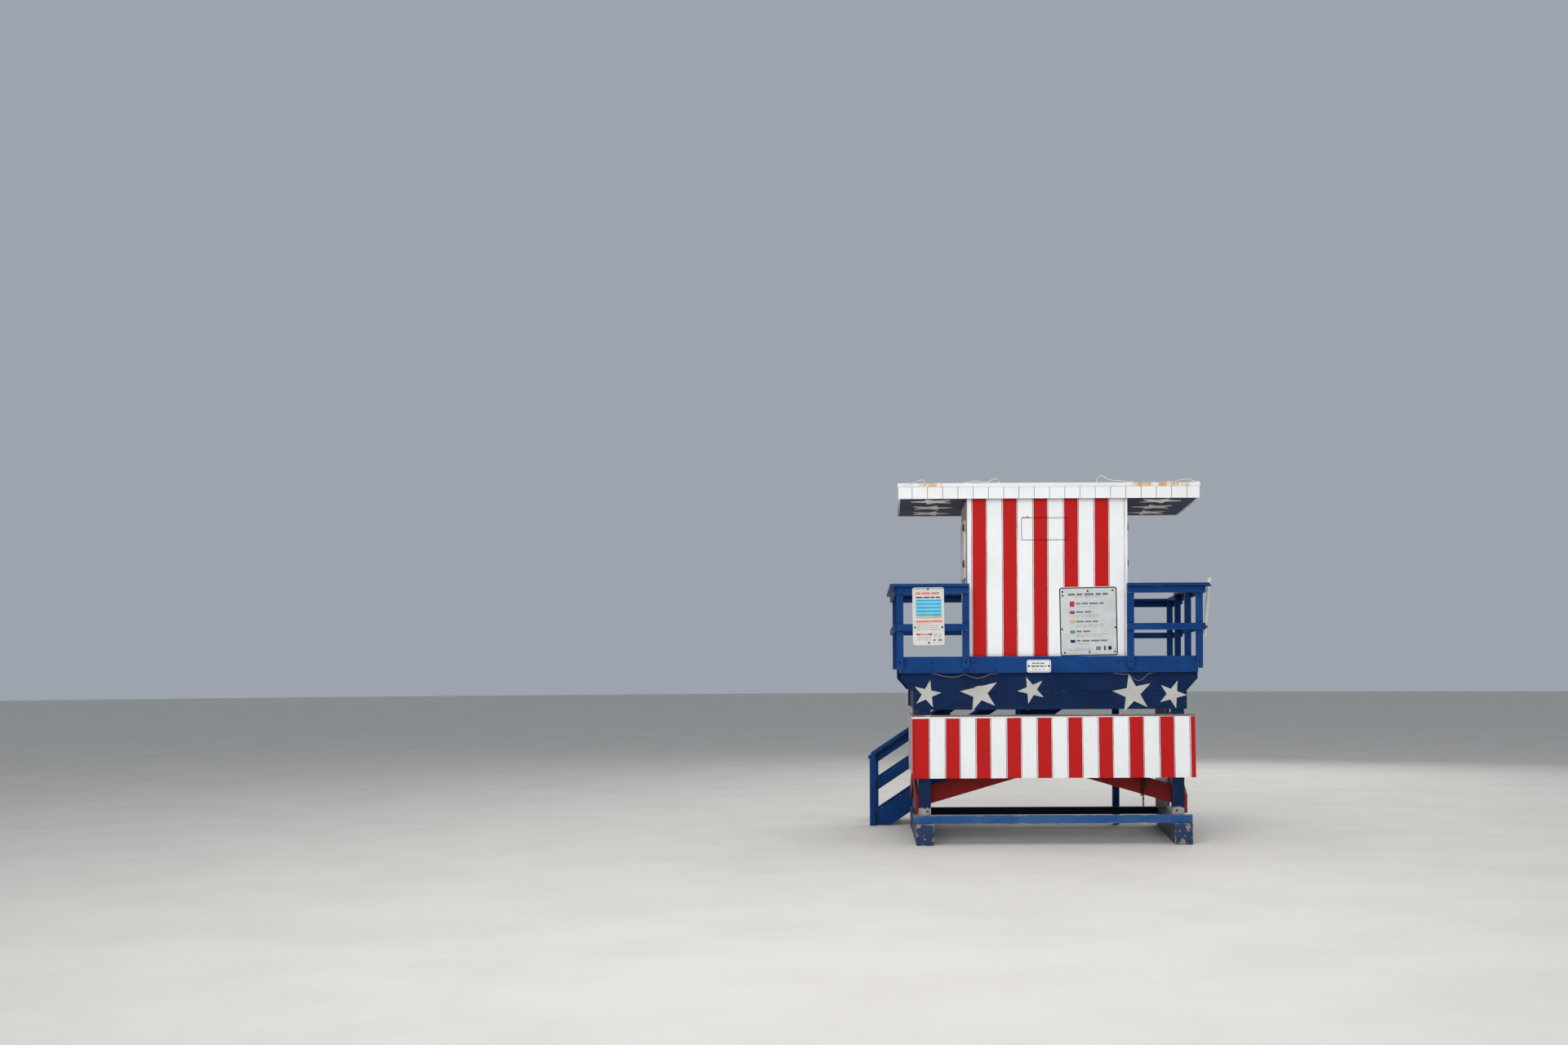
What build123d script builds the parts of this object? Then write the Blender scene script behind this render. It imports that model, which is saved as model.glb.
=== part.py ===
from build123d import *
import math
import os

os.makedirs("parts", exist_ok=True)

# Lifeguard tower in millimetres, +Z up. The land side faces -Y and the sea side +Y.
# Sizes are drawn from the middle of the deck, and the origin of the finished part is on the
# ground in the middle of its whole outline, stair and landing included.

# Timber
plank = 38                  # thickness of the framing planks, fascias and rails
post_size = 90
leg_size = 165
gap = 1                     # open joint between boards that share a node

# Ground frame
skid_height = 285
skid_width = 236
skid_overrun = 60           # skid beyond the face of the base beam
right_skid_shift = 60       # the right skid lies further out than its legs
base_beam_height = 110
base_beam_depth = 90
base_beam_overrun = 100     # beam beyond the outer face of the leg
under_shift = 25            # everything under the deck stands a little to the right

# Legs, deck and flare
leg_half = 1778             # middle of the tower to the outer face of a front leg
deck_depth = 2800
deck_half = 1945            # middle of the deck to the face of a side fascia, at the front
deck_top = 2515
deck_flare = 2.5            # degrees that each side opens towards the sea
fascia_height = 220
fascia_overrun = 33         # end fascias run past the side fascias
joist_height = 182
joist_spacing = 620
joist_count = 5

# Girders across the legs
girder_setback = 60         # fascia face to girder face
upper_girder_height = 242
upper_girder_end = 81       # upright part of the cantilevered end
upper_girder_foot = 24      # foot of the slanted end, beyond the lower girder
lower_girder_height = 248

# Braces
brace_rise = 0.292          # slope of the braces, height over run
brace_width = 240
front_brace_lift = 146      # base beam to the lower edge of the brace at the leg
side_brace_lift = 15

# Skirt panels between the legs
panel = 20                  # siding panel thickness
skirt_drop = 100            # foot of the girders to the top of the skirts
skirt_height = 813
skirt_rake = 5.5            # degrees, the foot of the front skirt stands out
skirt_left_run = 22         # the front skirt runs past the left corner
skirt_right_run = 85
skirt_rail_height = 38

# Hut
hut_shift = -18             # the hut sits a little left of the deck's middle
hut_setback = 50            # deck edge to the land wall
hut_depth = 1800
hut_half = 1068
hut_flare = 1.65
hut_height = 2113           # floor to the underside of the soffit
wall = 100
door_left = 180
door_width = 800
door_head = 133             # doorway to the soffit
sea_window_left = -900
sea_window_width = 850
sea_window_height = 900
sea_window_drop = 213       # soffit to the top of the window
side_window_set = 450       # land wall to the side window
side_window_width = 900
side_window_height = 700
side_window_drop = 303
shutter_lap = 40
shutter_thickness = 24
hatch_left = -348
hatch_width = 619
hatch_height = 304
hatch_drop = 260
hatch_thickness = 14
hatch_joint = 4

# Roof
roof_overhang = 60          # roof beyond the land wall
roof_depth = 2600
roof_half = 2004
roof_shift = 2              # the roof stands nearer the deck's middle than the hut
roof_fascia_height = 157
roof_fascia_thickness = 26
roof_top_height = 49
roof_top_lip = 10
soffit_thickness = 18
soffit_recess = 10          # soffit above the lower edge of the roof fascia

# Railings
rail_height = 965           # deck to the top of the cap
rail_width = 90
mid_rail_top = 434          # deck to the top of the mid rail
cap_width = 184
cap_overhang = 48           # cap beyond the outer face of the boards
post_lap = 165              # post below the deck top, against the fascia
inner_post_offset = 25      # inner front post beyond the edge of the hut

# Landing and stair, along the sea side
landing_drop = 38           # the landing is one board lower than the deck
landing_left = 1080
landing_depth = 1250
landing_joist_count = 3
landing_near_post = 54      # landing edge to the post at the head of the stair
landing_far_post = 177
landing_side_post = 80      # outer face of the side joist to the inside of its post
stair_near = 190            # deck's sea face to the near stringer
riser_count = 13
going = 286
nosing = 25
tread_thickness = 38
stringer_width = 286
stringer_lift = 44          # stringer edge above the line of the nosings
newel_offset = 95           # middle of the newel in front of the first nosing
stair_post_spacing = 1126
stair_post_count = 3
stair_rail_width = 115
stair_mid_width = 138
stair_mid_drop = 440        # cap top down to the top of the mid rail
stair_cap_width = 140
stair_cap_overhang = 24     # past the newel
stair_cap_lap = 6           # past the face of the board

# Loose pole outside the right railing
pole_radius = 25
pole_rise = 65              # top of the pole above the railing cap
pole_length = 769
pole_set_back = 250         # behind the face of the front fascia
pole_tie = 6                # tie round the pole
pole_tie_height = 26
pole_cap_radius = 33
pole_cap_height = 30

# Cut-out stars: middle across, middle up from the girder joint, radius, turn in degrees
star_thickness = 12
girder_stars = [
    (-1632, -36, 192, -12.8),
    (-928, -22, 267, 13.3),
    (-238, 12, 190, 22.6),
    (1110, -39, 272, 11.0),
    (1640, -53, 196, -21.3),
]
broken_star = 1             # its top point is missing
broken_star_height = 84     # middle of that star to the break
soffit_star_radius = 300
soffit_star_turns = [200, 20, 160]

# Cables that sag under the front fascia: places across, and drops below the fascia's foot
cable_diameter = 10
cable_seat = 12             # fascia's foot to the middle of the cable at its clips
cable_clip_length = 26
cable_clip_depth = 24
cable_clip_height = 22
cable_routes = {
    "left_cable": [
        (-1552, cable_seat), (-1512, cable_seat), (-1440, 44), (-1325, 65), (-1215, 56), (-1150, 19),
        (-1110, 19), (-1050, 62), (-960, 82), (-870, 66), (-812, 22), (-772, 15), (-732, cable_seat),
        (-698, cable_seat)],
    "right_cable": [
        (861, cable_seat), (895, cable_seat), (950, 24), (1005, 27), (1042, 20), (1076, 33), (1112, 74),
        (1165, 112), (1228, 104), (1275, 60), (1305, 26), (1337, cable_seat), (1368, cable_seat)],
}

# Loose wires at the front edge of the roof: places across, behind the edge and above the roof
wire_diameter = 8
wire_seat = 8               # roof to the middle of a wire at its clip
wire_clip_length = 20
wire_clip_width = 24
wire_routes = {
    "left_roof_wire": [
        (-1917, -wire_seat, -32), (-1880, -wire_seat, -32), (-1830, -9, -14), (-1780, -6, 14),
        (-1725, 12, 36), (-1688, 22, 48), (-1660, 27, 40), (-1648, 30, 22), (-1648, 30, wire_seat)],
    "middle_roof_wire": [
        (-1105, 52, wire_seat), (-1075, 52, wire_seat), (-1035, 42, 24), (-980, 30, 29), (-925, 24, 25),
        (-880, 22, 11), (-840, 22, 6), (-800, 22, 18), (-755, 24, 48), (-712, 26, 61), (-682, 28, 52),
        (-664, 30, 30), (-664, 30, wire_seat)],
    "right_roof_wire": [
        (640, 30, wire_seat), (640, 30, 28), (655, 29, 66), (684, 27, 92), (718, 25, 90), (752, 24, 66),
        (805, 23, 38), (880, 24, 26), (965, 26, 26), (1030, 33, 15), (1070, 36, wire_seat),
        (1100, 36, wire_seat)],
    "end_roof_wire": [
        (1600, 38, wire_seat), (1640, 38, wire_seat), (1700, 34, 20), (1765, 30, 36), (1830, 28, 43),
        (1885, 28, 38), (1925, 29, 20), (1953, 30, wire_seat), (1980, 30, wire_seat)],
}
cord_arc_share = 0.45       # of the shorter run, taken by the arc at each point of a cord
cord_sides = 8              # sides of the polygon that stands for a cord's round section

# Levels and lines that follow from the sizes above
deck_front = -deck_depth / 2    # land face of the front fascia
deck_back = deck_front + deck_depth
fascia_foot = deck_top - fascia_height
floor_underside = deck_top - plank
joist_foot = floor_underside - joist_height
girder_face = deck_front + girder_setback
leg_face = girder_face + plank
back_girder_face = deck_back - girder_setback
back_leg_face = back_girder_face - plank
girder_joint = joist_foot - upper_girder_height
girder_foot = girder_joint - lower_girder_height
skirt_top = girder_foot - skirt_drop
skirt_foot = skirt_top - skirt_height
beam_top = skid_height + base_beam_height
hut_front = deck_front + hut_setback
hut_back = hut_front + hut_depth
soffit_underside = deck_top + hut_height
roof_fascia_foot = soffit_underside - soffit_recess
roof_fascia_top = roof_fascia_foot + roof_fascia_height
roof_front = hut_front - roof_overhang
roof_back = roof_front + roof_depth
cap_top = deck_top + rail_height
landing_top = deck_top - landing_drop
landing_back = deck_back + landing_depth
landing_cap_top = landing_top + rail_height
riser = landing_top / riser_count
stair_slope = riser / going
first_nosing = landing_left - (riser_count - 1) * going - nosing
stair_y0 = deck_back + stair_near
stair_y1 = landing_back
deck_slope = math.tan(math.radians(deck_flare))
hut_slope = math.tan(math.radians(hut_flare))
cap_reach = post_size + plank + cap_overhang
pole_top = cap_top + pole_rise
pole_foot = pole_top - pole_length
outline_left = first_nosing - newel_offset - post_size / 2 - stair_cap_overhang
outline_right = deck_half + (landing_back + cap_reach - deck_front) * deck_slope + cap_reach
origin_x = (outline_left + outline_right) / 2
origin_y = (deck_front + landing_back) / 2


# Half widths of the flared sides at a given distance along Y
def deck_reach(y):
    return deck_half + (y - deck_front) * deck_slope


def leg_reach(y):
    return leg_half + (y - leg_face) * deck_slope


def hut_reach(y):
    return hut_half + (y - hut_front) * hut_slope


def roof_reach(y):
    return roof_half + (y - roof_front) * hut_slope


def block(x0, x1, y0, y1, z0, z1):
    return Pos(x0, y0, z0) * Box(x1 - x0, y1 - y0, z1 - z0, align=(Align.MIN,) * 3)


def flat(points):
    # filled outline whose points run anticlockwise, so that it is thickened one way
    following = points[1:] + points[:1]
    area = sum(a[0] * b[1] - b[0] * a[1] for a, b in zip(points, following))
    return Polygon(*(points if area > 0 else points[::-1]), align=None)


def plan(points, z0, z1):
    # upright solid on an outline seen from above
    return Pos(0, 0, z0) * extrude(flat(points), amount=z1 - z0)


def front_profile(points, y0, y1):
    # solid with an outline seen from the land side, points as (x, z)
    return Pos(0, y1, 0) * extrude(Plane.XZ * flat(points), amount=y1 - y0)


def side_profile(points, x0, x1):
    # solid with an outline seen from the side, points as (y, z)
    return Pos(x0, 0, 0) * extrude(Plane.YZ * flat(points), amount=x1 - x0)


def side_strip(reach, out, thick, y0, y1, z0, z1):
    # right-hand member along a flared side, its outer face "out" beyond that side
    a, b = reach(y0) + out, reach(y1) + out
    return plan([(a - thick, y0), (a, y0), (b, y1), (b - thick, y1)], z0, z1)


def across(reach, out, y0, y1, z0, z1):
    # member from side to side, its ends cut to the flare
    a, b = reach(y0) + out, reach(y1) + out
    return plan([(-a, y0), (a, y0), (b, y1), (-b, y1)], z0, z1)


def both_sides(shape, shift=0):
    return [Pos(shift, 0, 0) * mirror(shape, about=Plane.YZ), Pos(shift, 0, 0) * shape]


def moved(shapes, shift):
    return [Pos(shift, 0, 0) * shape for shape in shapes]


def star(radius, turn):
    # five-pointed star whose edges run from point to point
    inner = radius * math.cos(math.radians(72)) / math.cos(math.radians(36))
    outline = []
    for step in range(10):
        angle = math.radians(90 + turn + 36 * step)
        reach = inner if step % 2 else radius
        outline.append((reach * math.cos(angle), reach * math.sin(angle)))
    return Polygon(*outline, align=None)


def save(name, *shapes):
    placed = [Pos(-origin_x, -origin_y, 0) * shape for shape in shapes]
    solids = [solid for shape in placed for solid in shape.solids()]
    export_step(Compound(children=solids) if len(solids) > 1 else solids[0], f"parts/{name}.step")


# Ground frame: two skids that run towards the sea, with a beam across each end
def ground_frame():
    beam_face = leg_face - base_beam_depth
    far_face = back_leg_face + base_beam_depth
    y0, y1 = beam_face - skid_overrun, far_face + skid_overrun
    out = (skid_width - leg_size) / 2
    right = side_strip(leg_reach, out, skid_width, y0, y1, 0, skid_height)
    left = Pos(under_shift, 0, 0) * mirror(right, about=Plane.YZ)
    save("left_skid", left)
    save("right_skid", Pos(under_shift + right_skid_shift, 0, 0) * right)
    front_beam = across(leg_reach, base_beam_overrun, beam_face, leg_face, skid_height, beam_top)
    # the back beam lies between the skids, its top level with theirs
    a, b = (leg_reach(y) + out - skid_width for y in (back_leg_face, far_face))
    back_beam = plan([(-a, back_leg_face), (a + right_skid_shift, back_leg_face),
                      (b + right_skid_shift, far_face), (-b, far_face)],
                     skid_height - base_beam_height, skid_height)
    save("base_beams", *moved([front_beam, back_beam], under_shift))


def legs():
    for place, y0 in (("front", leg_face), ("back", back_leg_face - leg_size)):
        leg = side_strip(leg_reach, 0, leg_size, y0, y0 + leg_size, skid_height, joist_foot)
        save(f"{place}_legs", *both_sides(leg, under_shift))


# Girders: a cantilevered upper plank with slanted ends over a plank as wide as the legs
def girder_pair(y0, y1, reach_at):
    tip = deck_reach(reach_at) + fascia_overrun
    foot = leg_reach(reach_at) + plank + upper_girder_foot
    seam = girder_joint + gap
    shoulder = joist_foot - upper_girder_end
    upper = front_profile([(-tip, joist_foot), (-tip, shoulder), (-foot, seam),
                           (foot, seam), (tip, shoulder), (tip, joist_foot)], y0, y1)
    half = leg_reach(reach_at) + plank
    return [upper, block(-half, half, y0, y1, girder_foot, girder_joint)]


def girders():
    save("front_girders", *girder_pair(girder_face, leg_face, girder_face))
    save("back_girders", *girder_pair(back_leg_face, back_girder_face, back_leg_face))
    beam = side_strip(leg_reach, plank, plank, leg_face, back_leg_face, girder_foot, girder_joint)
    save("side_beams", *both_sides(beam, under_shift))


# Braces: planks that rise from the legs to the middle of each bay
def brace_half(run, foot):
    rise = run * brace_rise
    upright = brace_width * math.hypot(1, brace_rise)
    return [(gap / 2, foot + rise), (run, foot), (run, foot + upright), (gap / 2, foot + rise + upright)]


def front_braces():
    run = leg_half
    foot = beam_top + front_brace_lift - leg_size * brace_rise
    y0 = leg_face + leg_size
    half = front_profile(brace_half(run, foot), y0, y0 + plank)
    save("front_braces", *both_sides(half, under_shift))


def side_braces():
    # drawn flat along a side, then turned to the flare
    run = (back_leg_face - leg_face) / 2
    middle = (back_leg_face + leg_face) / 2
    turn = Pos(leg_reach(middle), middle, 0) * Rot(0, 0, -deck_flare)
    thick = plank * math.cos(math.radians(deck_flare))
    outline = brace_half(run, beam_top + side_brace_lift)
    far_half = turn * side_profile(outline, 0, thick)
    near_half = turn * side_profile([(-y, z) for y, z in outline], 0, thick)
    save("side_braces", *both_sides(near_half, under_shift), *both_sides(far_half, under_shift))


# Deck: joists and floor inside a frame of fascias
def deck():
    inner_front, inner_back = deck_front + plank, deck_back - plank
    side = side_strip(deck_reach, 0, plank, inner_front + gap, inner_back - gap, fascia_foot, deck_top)
    save("deck_fascias",
         across(deck_reach, fascia_overrun, deck_front, inner_front, fascia_foot, deck_top),
         across(deck_reach, fascia_overrun, inner_back, deck_back, fascia_foot, deck_top),
         *both_sides(side))
    joists = []
    for index in range(joist_count):
        x = (index - (joist_count - 1) / 2) * joist_spacing
        joists.append(block(x - plank / 2, x + plank / 2, inner_front, inner_back,
                            joist_foot, floor_underside))
    save("floor_joists", *joists)
    save("deck_floor", across(deck_reach, -plank, inner_front, inner_back, floor_underside, deck_top))


# Skirts: siding panels under the girders, the front one raked out at its foot
def skirts():
    rake = skirt_height * math.tan(math.radians(skirt_rake))
    half = leg_reach(leg_face) + plank + panel
    outline = [(leg_face, skirt_top), (leg_face - panel, skirt_top),
               (leg_face - panel - rake, skirt_foot), (leg_face - rake, skirt_foot)]
    front = side_profile(outline, -half - skirt_left_run, half + skirt_right_run)
    save("front_skirt", Pos(under_shift, 0, 0) * front)
    rail_rake = rake * (1 - skirt_rail_height / skirt_height)
    rail = [(leg_face, skirt_foot), (leg_face, skirt_foot + skirt_rail_height),
            (leg_face - rail_rake, skirt_foot + skirt_rail_height), (leg_face - rake, skirt_foot)]
    save("front_skirt_rail", Pos(under_shift, 0, 0) * side_profile(rail, -leg_half, leg_half))
    side = side_strip(leg_reach, plank + panel, panel, leg_face, back_leg_face, skirt_foot, skirt_top)
    save("side_skirts", *both_sides(side, under_shift))


# Hut: four walls round an open room, with a doorway and a lookout window to the sea
def hut():
    z0, z1 = deck_top, soffit_underside
    inner_front, inner_back = hut_front + wall, hut_back - wall
    land = across(hut_reach, 0, hut_front, inner_front, z0, z1)
    hatch_z = z1 - hatch_drop - hatch_height
    pocket = block(hatch_left, hatch_left + hatch_width, hut_front, hut_front + hatch_thickness,
                   hatch_z, hatch_z + hatch_height)
    hatch = block(hatch_left + hatch_joint, hatch_left + hatch_width - hatch_joint, hut_front,
                  hut_front + hatch_thickness, hatch_z + hatch_joint,
                  hatch_z + hatch_height - hatch_joint)
    save("land_wall", Pos(hut_shift, 0, 0) * (land - pocket))
    save("vent_hatch", Pos(hut_shift, 0, 0) * hatch)

    window_z1 = z1 - side_window_drop
    window_z0 = window_z1 - side_window_height
    window_y0 = hut_front + side_window_set
    window_y1 = window_y0 + side_window_width
    side = side_strip(hut_reach, 0, wall, inner_front, inner_back, z0, z1)
    side -= block(0, 2 * hut_half, window_y0, window_y1, window_z0, window_z1)
    left, right = both_sides(side, hut_shift)
    save("left_wall", left)
    save("right_wall", right)
    shutter = side_strip(hut_reach, shutter_thickness, shutter_thickness,
                         window_y0 - shutter_lap, window_y1 + shutter_lap,
                         window_z0 - shutter_lap, window_z1 + shutter_lap)
    save("side_shutters", *both_sides(shutter, hut_shift))

    sea = across(hut_reach, 0, inner_back, hut_back, z0, z1)
    door_right, lintel_foot = door_left + door_width, z1 - door_head
    left_part = sea & block(-2 * hut_half, door_left, inner_back, hut_back, z0, z1)
    sill = z1 - sea_window_drop - sea_window_height
    left_part -= block(sea_window_left, sea_window_left + sea_window_width, inner_back, hut_back,
                       sill, sill + sea_window_height)
    save("sea_wall", Pos(hut_shift, 0, 0) * left_part)
    save("sea_wall_end", Pos(hut_shift, 0, 0) * (sea & block(door_right, 2 * hut_half, inner_back,
                                                              hut_back, z0, z1)))
    save("door_header", Pos(hut_shift, 0, 0) * block(door_left, door_right, inner_back, hut_back,
                                                     lintel_foot, z1))


# Roof: a flat box of fascias, soffit and top with a lip all round
def roof():
    inner_front, inner_back = roof_front + roof_fascia_thickness, roof_back - roof_fascia_thickness
    z0, z1 = roof_fascia_foot, roof_fascia_top
    ends = [across(roof_reach, 0, roof_front, inner_front, z0, z1),
            across(roof_reach, 0, inner_back, roof_back, z0, z1)]
    side = side_strip(roof_reach, 0, roof_fascia_thickness, inner_front + gap, inner_back - gap, z0, z1)
    soffit = across(roof_reach, -roof_fascia_thickness, inner_front, inner_back,
                    soffit_underside, soffit_underside + soffit_thickness)
    top = across(roof_reach, roof_top_lip, roof_front - roof_top_lip, roof_back + roof_top_lip,
                 z1, z1 + roof_top_height)
    save("roof_fascias", *moved(ends, roof_shift), *both_sides(side, roof_shift))
    save("roof_soffit", Pos(roof_shift, 0, 0) * soffit)
    save("roof_top", Pos(roof_shift, 0, 0) * top)


def stars():
    shapes = []
    for index, (x, dz, radius, turn) in enumerate(girder_stars):
        shape = extrude(star(radius, turn), amount=star_thickness)
        if index == broken_star:
            shape -= Pos(0, broken_star_height + radius, 0) * Box(4 * radius, 2 * radius, 4 * star_thickness)
        shapes.append(Pos(x, girder_face, girder_joint + dz) * Rot(90, 0, 0) * shape)
    save("girder_stars", *shapes)

    shapes = []
    row_pitch = (roof_depth - 2 * roof_fascia_thickness) / len(soffit_star_turns)
    for row, turn in enumerate(soffit_star_turns):
        y = roof_front + roof_fascia_thickness + row_pitch * (row + 0.5)
        x = (roof_reach(y) - roof_fascia_thickness + hut_reach(y)) / 2
        z = soffit_underside - star_thickness
        shape = Pos(x, y, z) * extrude(star(soffit_star_radius, turn), amount=star_thickness)
        shapes += both_sides(shape, (roof_shift + hut_shift) / 2)
    save("soffit_stars", *shapes)


# Railings round the deck: posts against the fascias, boards on their outer faces, caps on top
def deck_posts():
    foot, top = deck_top - post_lap, cap_top - plank
    y0, y1 = deck_front - post_size, deck_back + post_size
    corner = [side_strip(deck_reach, post_size, post_size, y0, deck_front, foot, top),
              side_strip(deck_reach, post_size, post_size, deck_back, y1, foot, top)]
    middle = (deck_front + deck_back) / 2
    corner.append(side_strip(deck_reach, post_size, post_size, middle - post_size / 2,
                             middle + post_size / 2, foot, top))
    posts = [shape for post in corner for shape in both_sides(post)]
    for side in (-1, 1):
        x = hut_shift + side * (hut_half + inner_post_offset)
        posts.append(block(x - post_size / 2, x + post_size / 2, y0, deck_front, foot, top))
    posts.append(block(landing_left - post_size, landing_left, deck_back, y1, foot, top))
    middle_x = (landing_left - deck_reach(deck_back)) / 2
    posts.append(block(middle_x - post_size / 2, middle_x + post_size / 2, deck_back, y1, foot, top))
    save("railing_posts", *posts)


def rail_levels(top):
    # the board under the cap and the mid rail, as pairs of levels
    board_top = top - plank - gap
    mid_top = top - rail_height + mid_rail_top
    return [(board_top - rail_width, board_top), (mid_top - rail_width, mid_top)]


def front_rails():
    post_face = deck_front - post_size
    board_face = post_face - plank
    cap_face = board_face - cap_overhang
    cap_back = cap_face + cap_width
    inner = hut_half + inner_post_offset - post_size / 2
    shapes = []
    for side in (-1, 1):
        x = hut_shift + side * inner
        for z0, z1 in rail_levels(cap_top):
            end = side * (deck_reach(post_face) + post_size)
            shapes.append(block(min(x, end), max(x, end), board_face, post_face, z0, z1))
        reach = post_size + plank + cap_overhang
        outline = [(x, cap_face), (side * (deck_reach(cap_face) + reach), cap_face),
                   (side * (deck_reach(cap_back) + reach), cap_back), (x, cap_back)]
        shapes.append(plan(outline, cap_top - plank, cap_top))
    save("front_rails", *shapes)


def side_rails():
    cap_back = deck_front - post_size - plank - cap_overhang + cap_width
    reach = post_size + plank
    shapes = []
    for z0, z1 in rail_levels(cap_top):
        shapes.append(side_strip(deck_reach, reach, plank, deck_front - post_size,
                                 deck_back + post_size, z0, z1))
    left_end = deck_back + post_size + plank + cap_overhang - cap_width
    left_cap = side_strip(deck_reach, reach + cap_overhang, cap_width, cap_back, left_end,
                          cap_top - plank, cap_top)
    right_cap = side_strip(deck_reach, reach + cap_overhang, cap_width, cap_back,
                           deck_back + post_size, cap_top - plank, cap_top)
    save("left_rails", mirror(left_cap, about=Plane.YZ), *[both_sides(shape)[0] for shape in shapes])
    save("right_rails", right_cap, *shapes)


def back_rails():
    post_face = deck_back + post_size
    board_face = post_face + plank
    cap_face = board_face + cap_overhang
    cap_inner = cap_face - cap_width
    shapes = []
    for z0, z1 in rail_levels(cap_top):
        shapes.append(block(-deck_reach(post_face) - post_size, landing_left, post_face, board_face, z0, z1))
    reach = post_size + plank + cap_overhang
    outline = [(-deck_reach(cap_inner) - reach, cap_inner), (landing_left, cap_inner),
               (landing_left, cap_face), (-deck_reach(cap_face) - reach, cap_face)]
    shapes.append(plan(outline, cap_top - plank, cap_top))
    save("back_rails", *shapes)


# Landing at the head of the stair
def landing():
    floor_z, rim_z = landing_top - plank, landing_top - plank - joist_height
    rim_face = landing_back - plank
    floor = plan([(landing_left, deck_back), (deck_reach(deck_back), deck_back),
                  (deck_reach(landing_back), landing_back), (landing_left, landing_back)],
                 floor_z, landing_top)
    save("landing_floor", floor)
    joist_end = rim_face - gap
    frame = [side_strip(deck_reach, 0, plank, deck_back, joist_end, rim_z, floor_z)]
    span = deck_reach(deck_back) - plank - landing_left
    for index in range(landing_joist_count):
        x = landing_left + index * span / landing_joist_count
        frame.append(block(x, x + plank, deck_back, joist_end, rim_z, floor_z))
    frame.append(plan([(landing_left, rim_face), (deck_reach(rim_face), rim_face),
                       (deck_reach(landing_back), landing_back), (landing_left, landing_back)],
                      rim_z, floor_z))
    save("landing_frame", *frame)
    near_y, far_y = stair_y0 - post_size, rim_face - post_size
    supports = []
    for x, y, top in ((landing_left + landing_near_post, near_y, floor_z),
                      (landing_left + landing_far_post, far_y, floor_z),
                      (deck_reach(rim_face) - landing_side_post, far_y, rim_z)):
        supports.append(block(x, x + post_size, y, y + post_size, 0, top))
    save("landing_supports", *supports)
    foot, top = landing_top - post_lap, landing_cap_top - plank
    posts = [side_strip(deck_reach, post_size, post_size, landing_back, landing_back + post_size, foot, top),
             block(landing_left, landing_left + post_size, landing_back, landing_back + post_size, foot, top)]
    save("landing_posts", *posts)


def landing_rails():
    side_start = deck_back + post_size
    post_face = landing_back + post_size
    board_face = post_face + plank
    cap_face = board_face + cap_overhang
    cap_inner = cap_face - cap_width
    reach = post_size + plank
    shapes = []
    for z0, z1 in rail_levels(landing_cap_top):
        shapes.append(block(landing_left, deck_reach(post_face) + post_size, post_face, board_face, z0, z1))
        shapes.append(side_strip(deck_reach, reach, plank, side_start + gap, post_face, z0, z1))
    out = reach + cap_overhang
    outline = [(landing_left, cap_inner), (deck_reach(cap_inner) + out, cap_inner),
               (deck_reach(cap_face) + out, cap_face), (landing_left, cap_face)]
    shapes.append(plan(outline, landing_cap_top - plank, landing_cap_top))
    shapes.append(side_strip(deck_reach, out, cap_width, side_start, cap_inner - gap,
                             landing_cap_top - plank, landing_cap_top))
    save("landing_rails", *shapes)


# Stair: treads between two stringers, with a sloping rail on each side
def nosing_level(x):
    return riser + (x - first_nosing) * stair_slope


def sloped(x0, x1, y0, y1, top, depth):
    # board along the flight whose upper edge is "top" above the line of the nosings
    a, b = nosing_level(x0) + top, nosing_level(x1) + top
    return front_profile([(x0, a), (x1, b), (x1, b - depth), (x0, a - depth)], y0, y1)


def stair():
    lengthen = math.hypot(1, stair_slope)
    newel_x = first_nosing - newel_offset
    stringer_depth = stringer_width * lengthen
    above_ground = block(2 * newel_x, landing_left, stair_y0, stair_y1, 0, 2 * deck_top)
    stringers = []
    for y in (stair_y0, stair_y1 - plank):
        board = sloped(newel_x, landing_left, y, y + plank, stringer_lift, stringer_depth)
        stringers.append(board & above_ground)
    save("stair_stringers", *stringers)

    treads = []
    for index in range(riser_count - 1):
        x = first_nosing + index * going
        top = riser * (index + 1)
        treads.append(block(x, x + going, stair_y0 + plank, stair_y1 - plank, top - tread_thickness, top))
    save("stair_treads", *treads)

    cap_depth = plank * lengthen
    under_cap = rail_height - cap_depth
    rail_depth, mid_depth = stair_rail_width * lengthen, stair_mid_width * lengthen
    posts = []
    post_xs = [newel_x + index * stair_post_spacing for index in range(stair_post_count)]
    for y in (stair_y0 - post_size, stair_y1):
        for x in post_xs:
            x0, x1 = x - post_size / 2, x + post_size / 2
            foot = max(0, nosing_level(x0) + stringer_lift - stringer_depth + plank)
            if x == newel_x:
                foot = 0
            posts.append(front_profile([(x0, foot), (x1, foot), (x1, nosing_level(x1) + under_cap),
                                        (x0, nosing_level(x0) + under_cap)], y, y + post_size))
    save("stair_posts", *posts)

    start = newel_x - post_size / 2
    near_end = post_xs[-1] + post_size / 2
    for name, end, board_y, cap_y in (
            ("near_stair_rails", near_end, stair_y0, stair_y0 + plank + stair_cap_lap - stair_cap_width),
            ("far_stair_rails", landing_left, stair_y1 + post_size,
             stair_y1 + post_size + plank + stair_cap_lap - stair_cap_width)):
        cap_start = start - stair_cap_overhang
        shapes = [
            sloped(cap_start, end, cap_y, cap_y + stair_cap_width, rail_height, cap_depth),
            sloped(start, end, board_y, board_y + plank, under_cap - gap, rail_depth),
            sloped(start, end, board_y, board_y + plank, rail_height - stair_mid_drop, mid_depth),
        ]
        save(name, *shapes)


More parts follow.
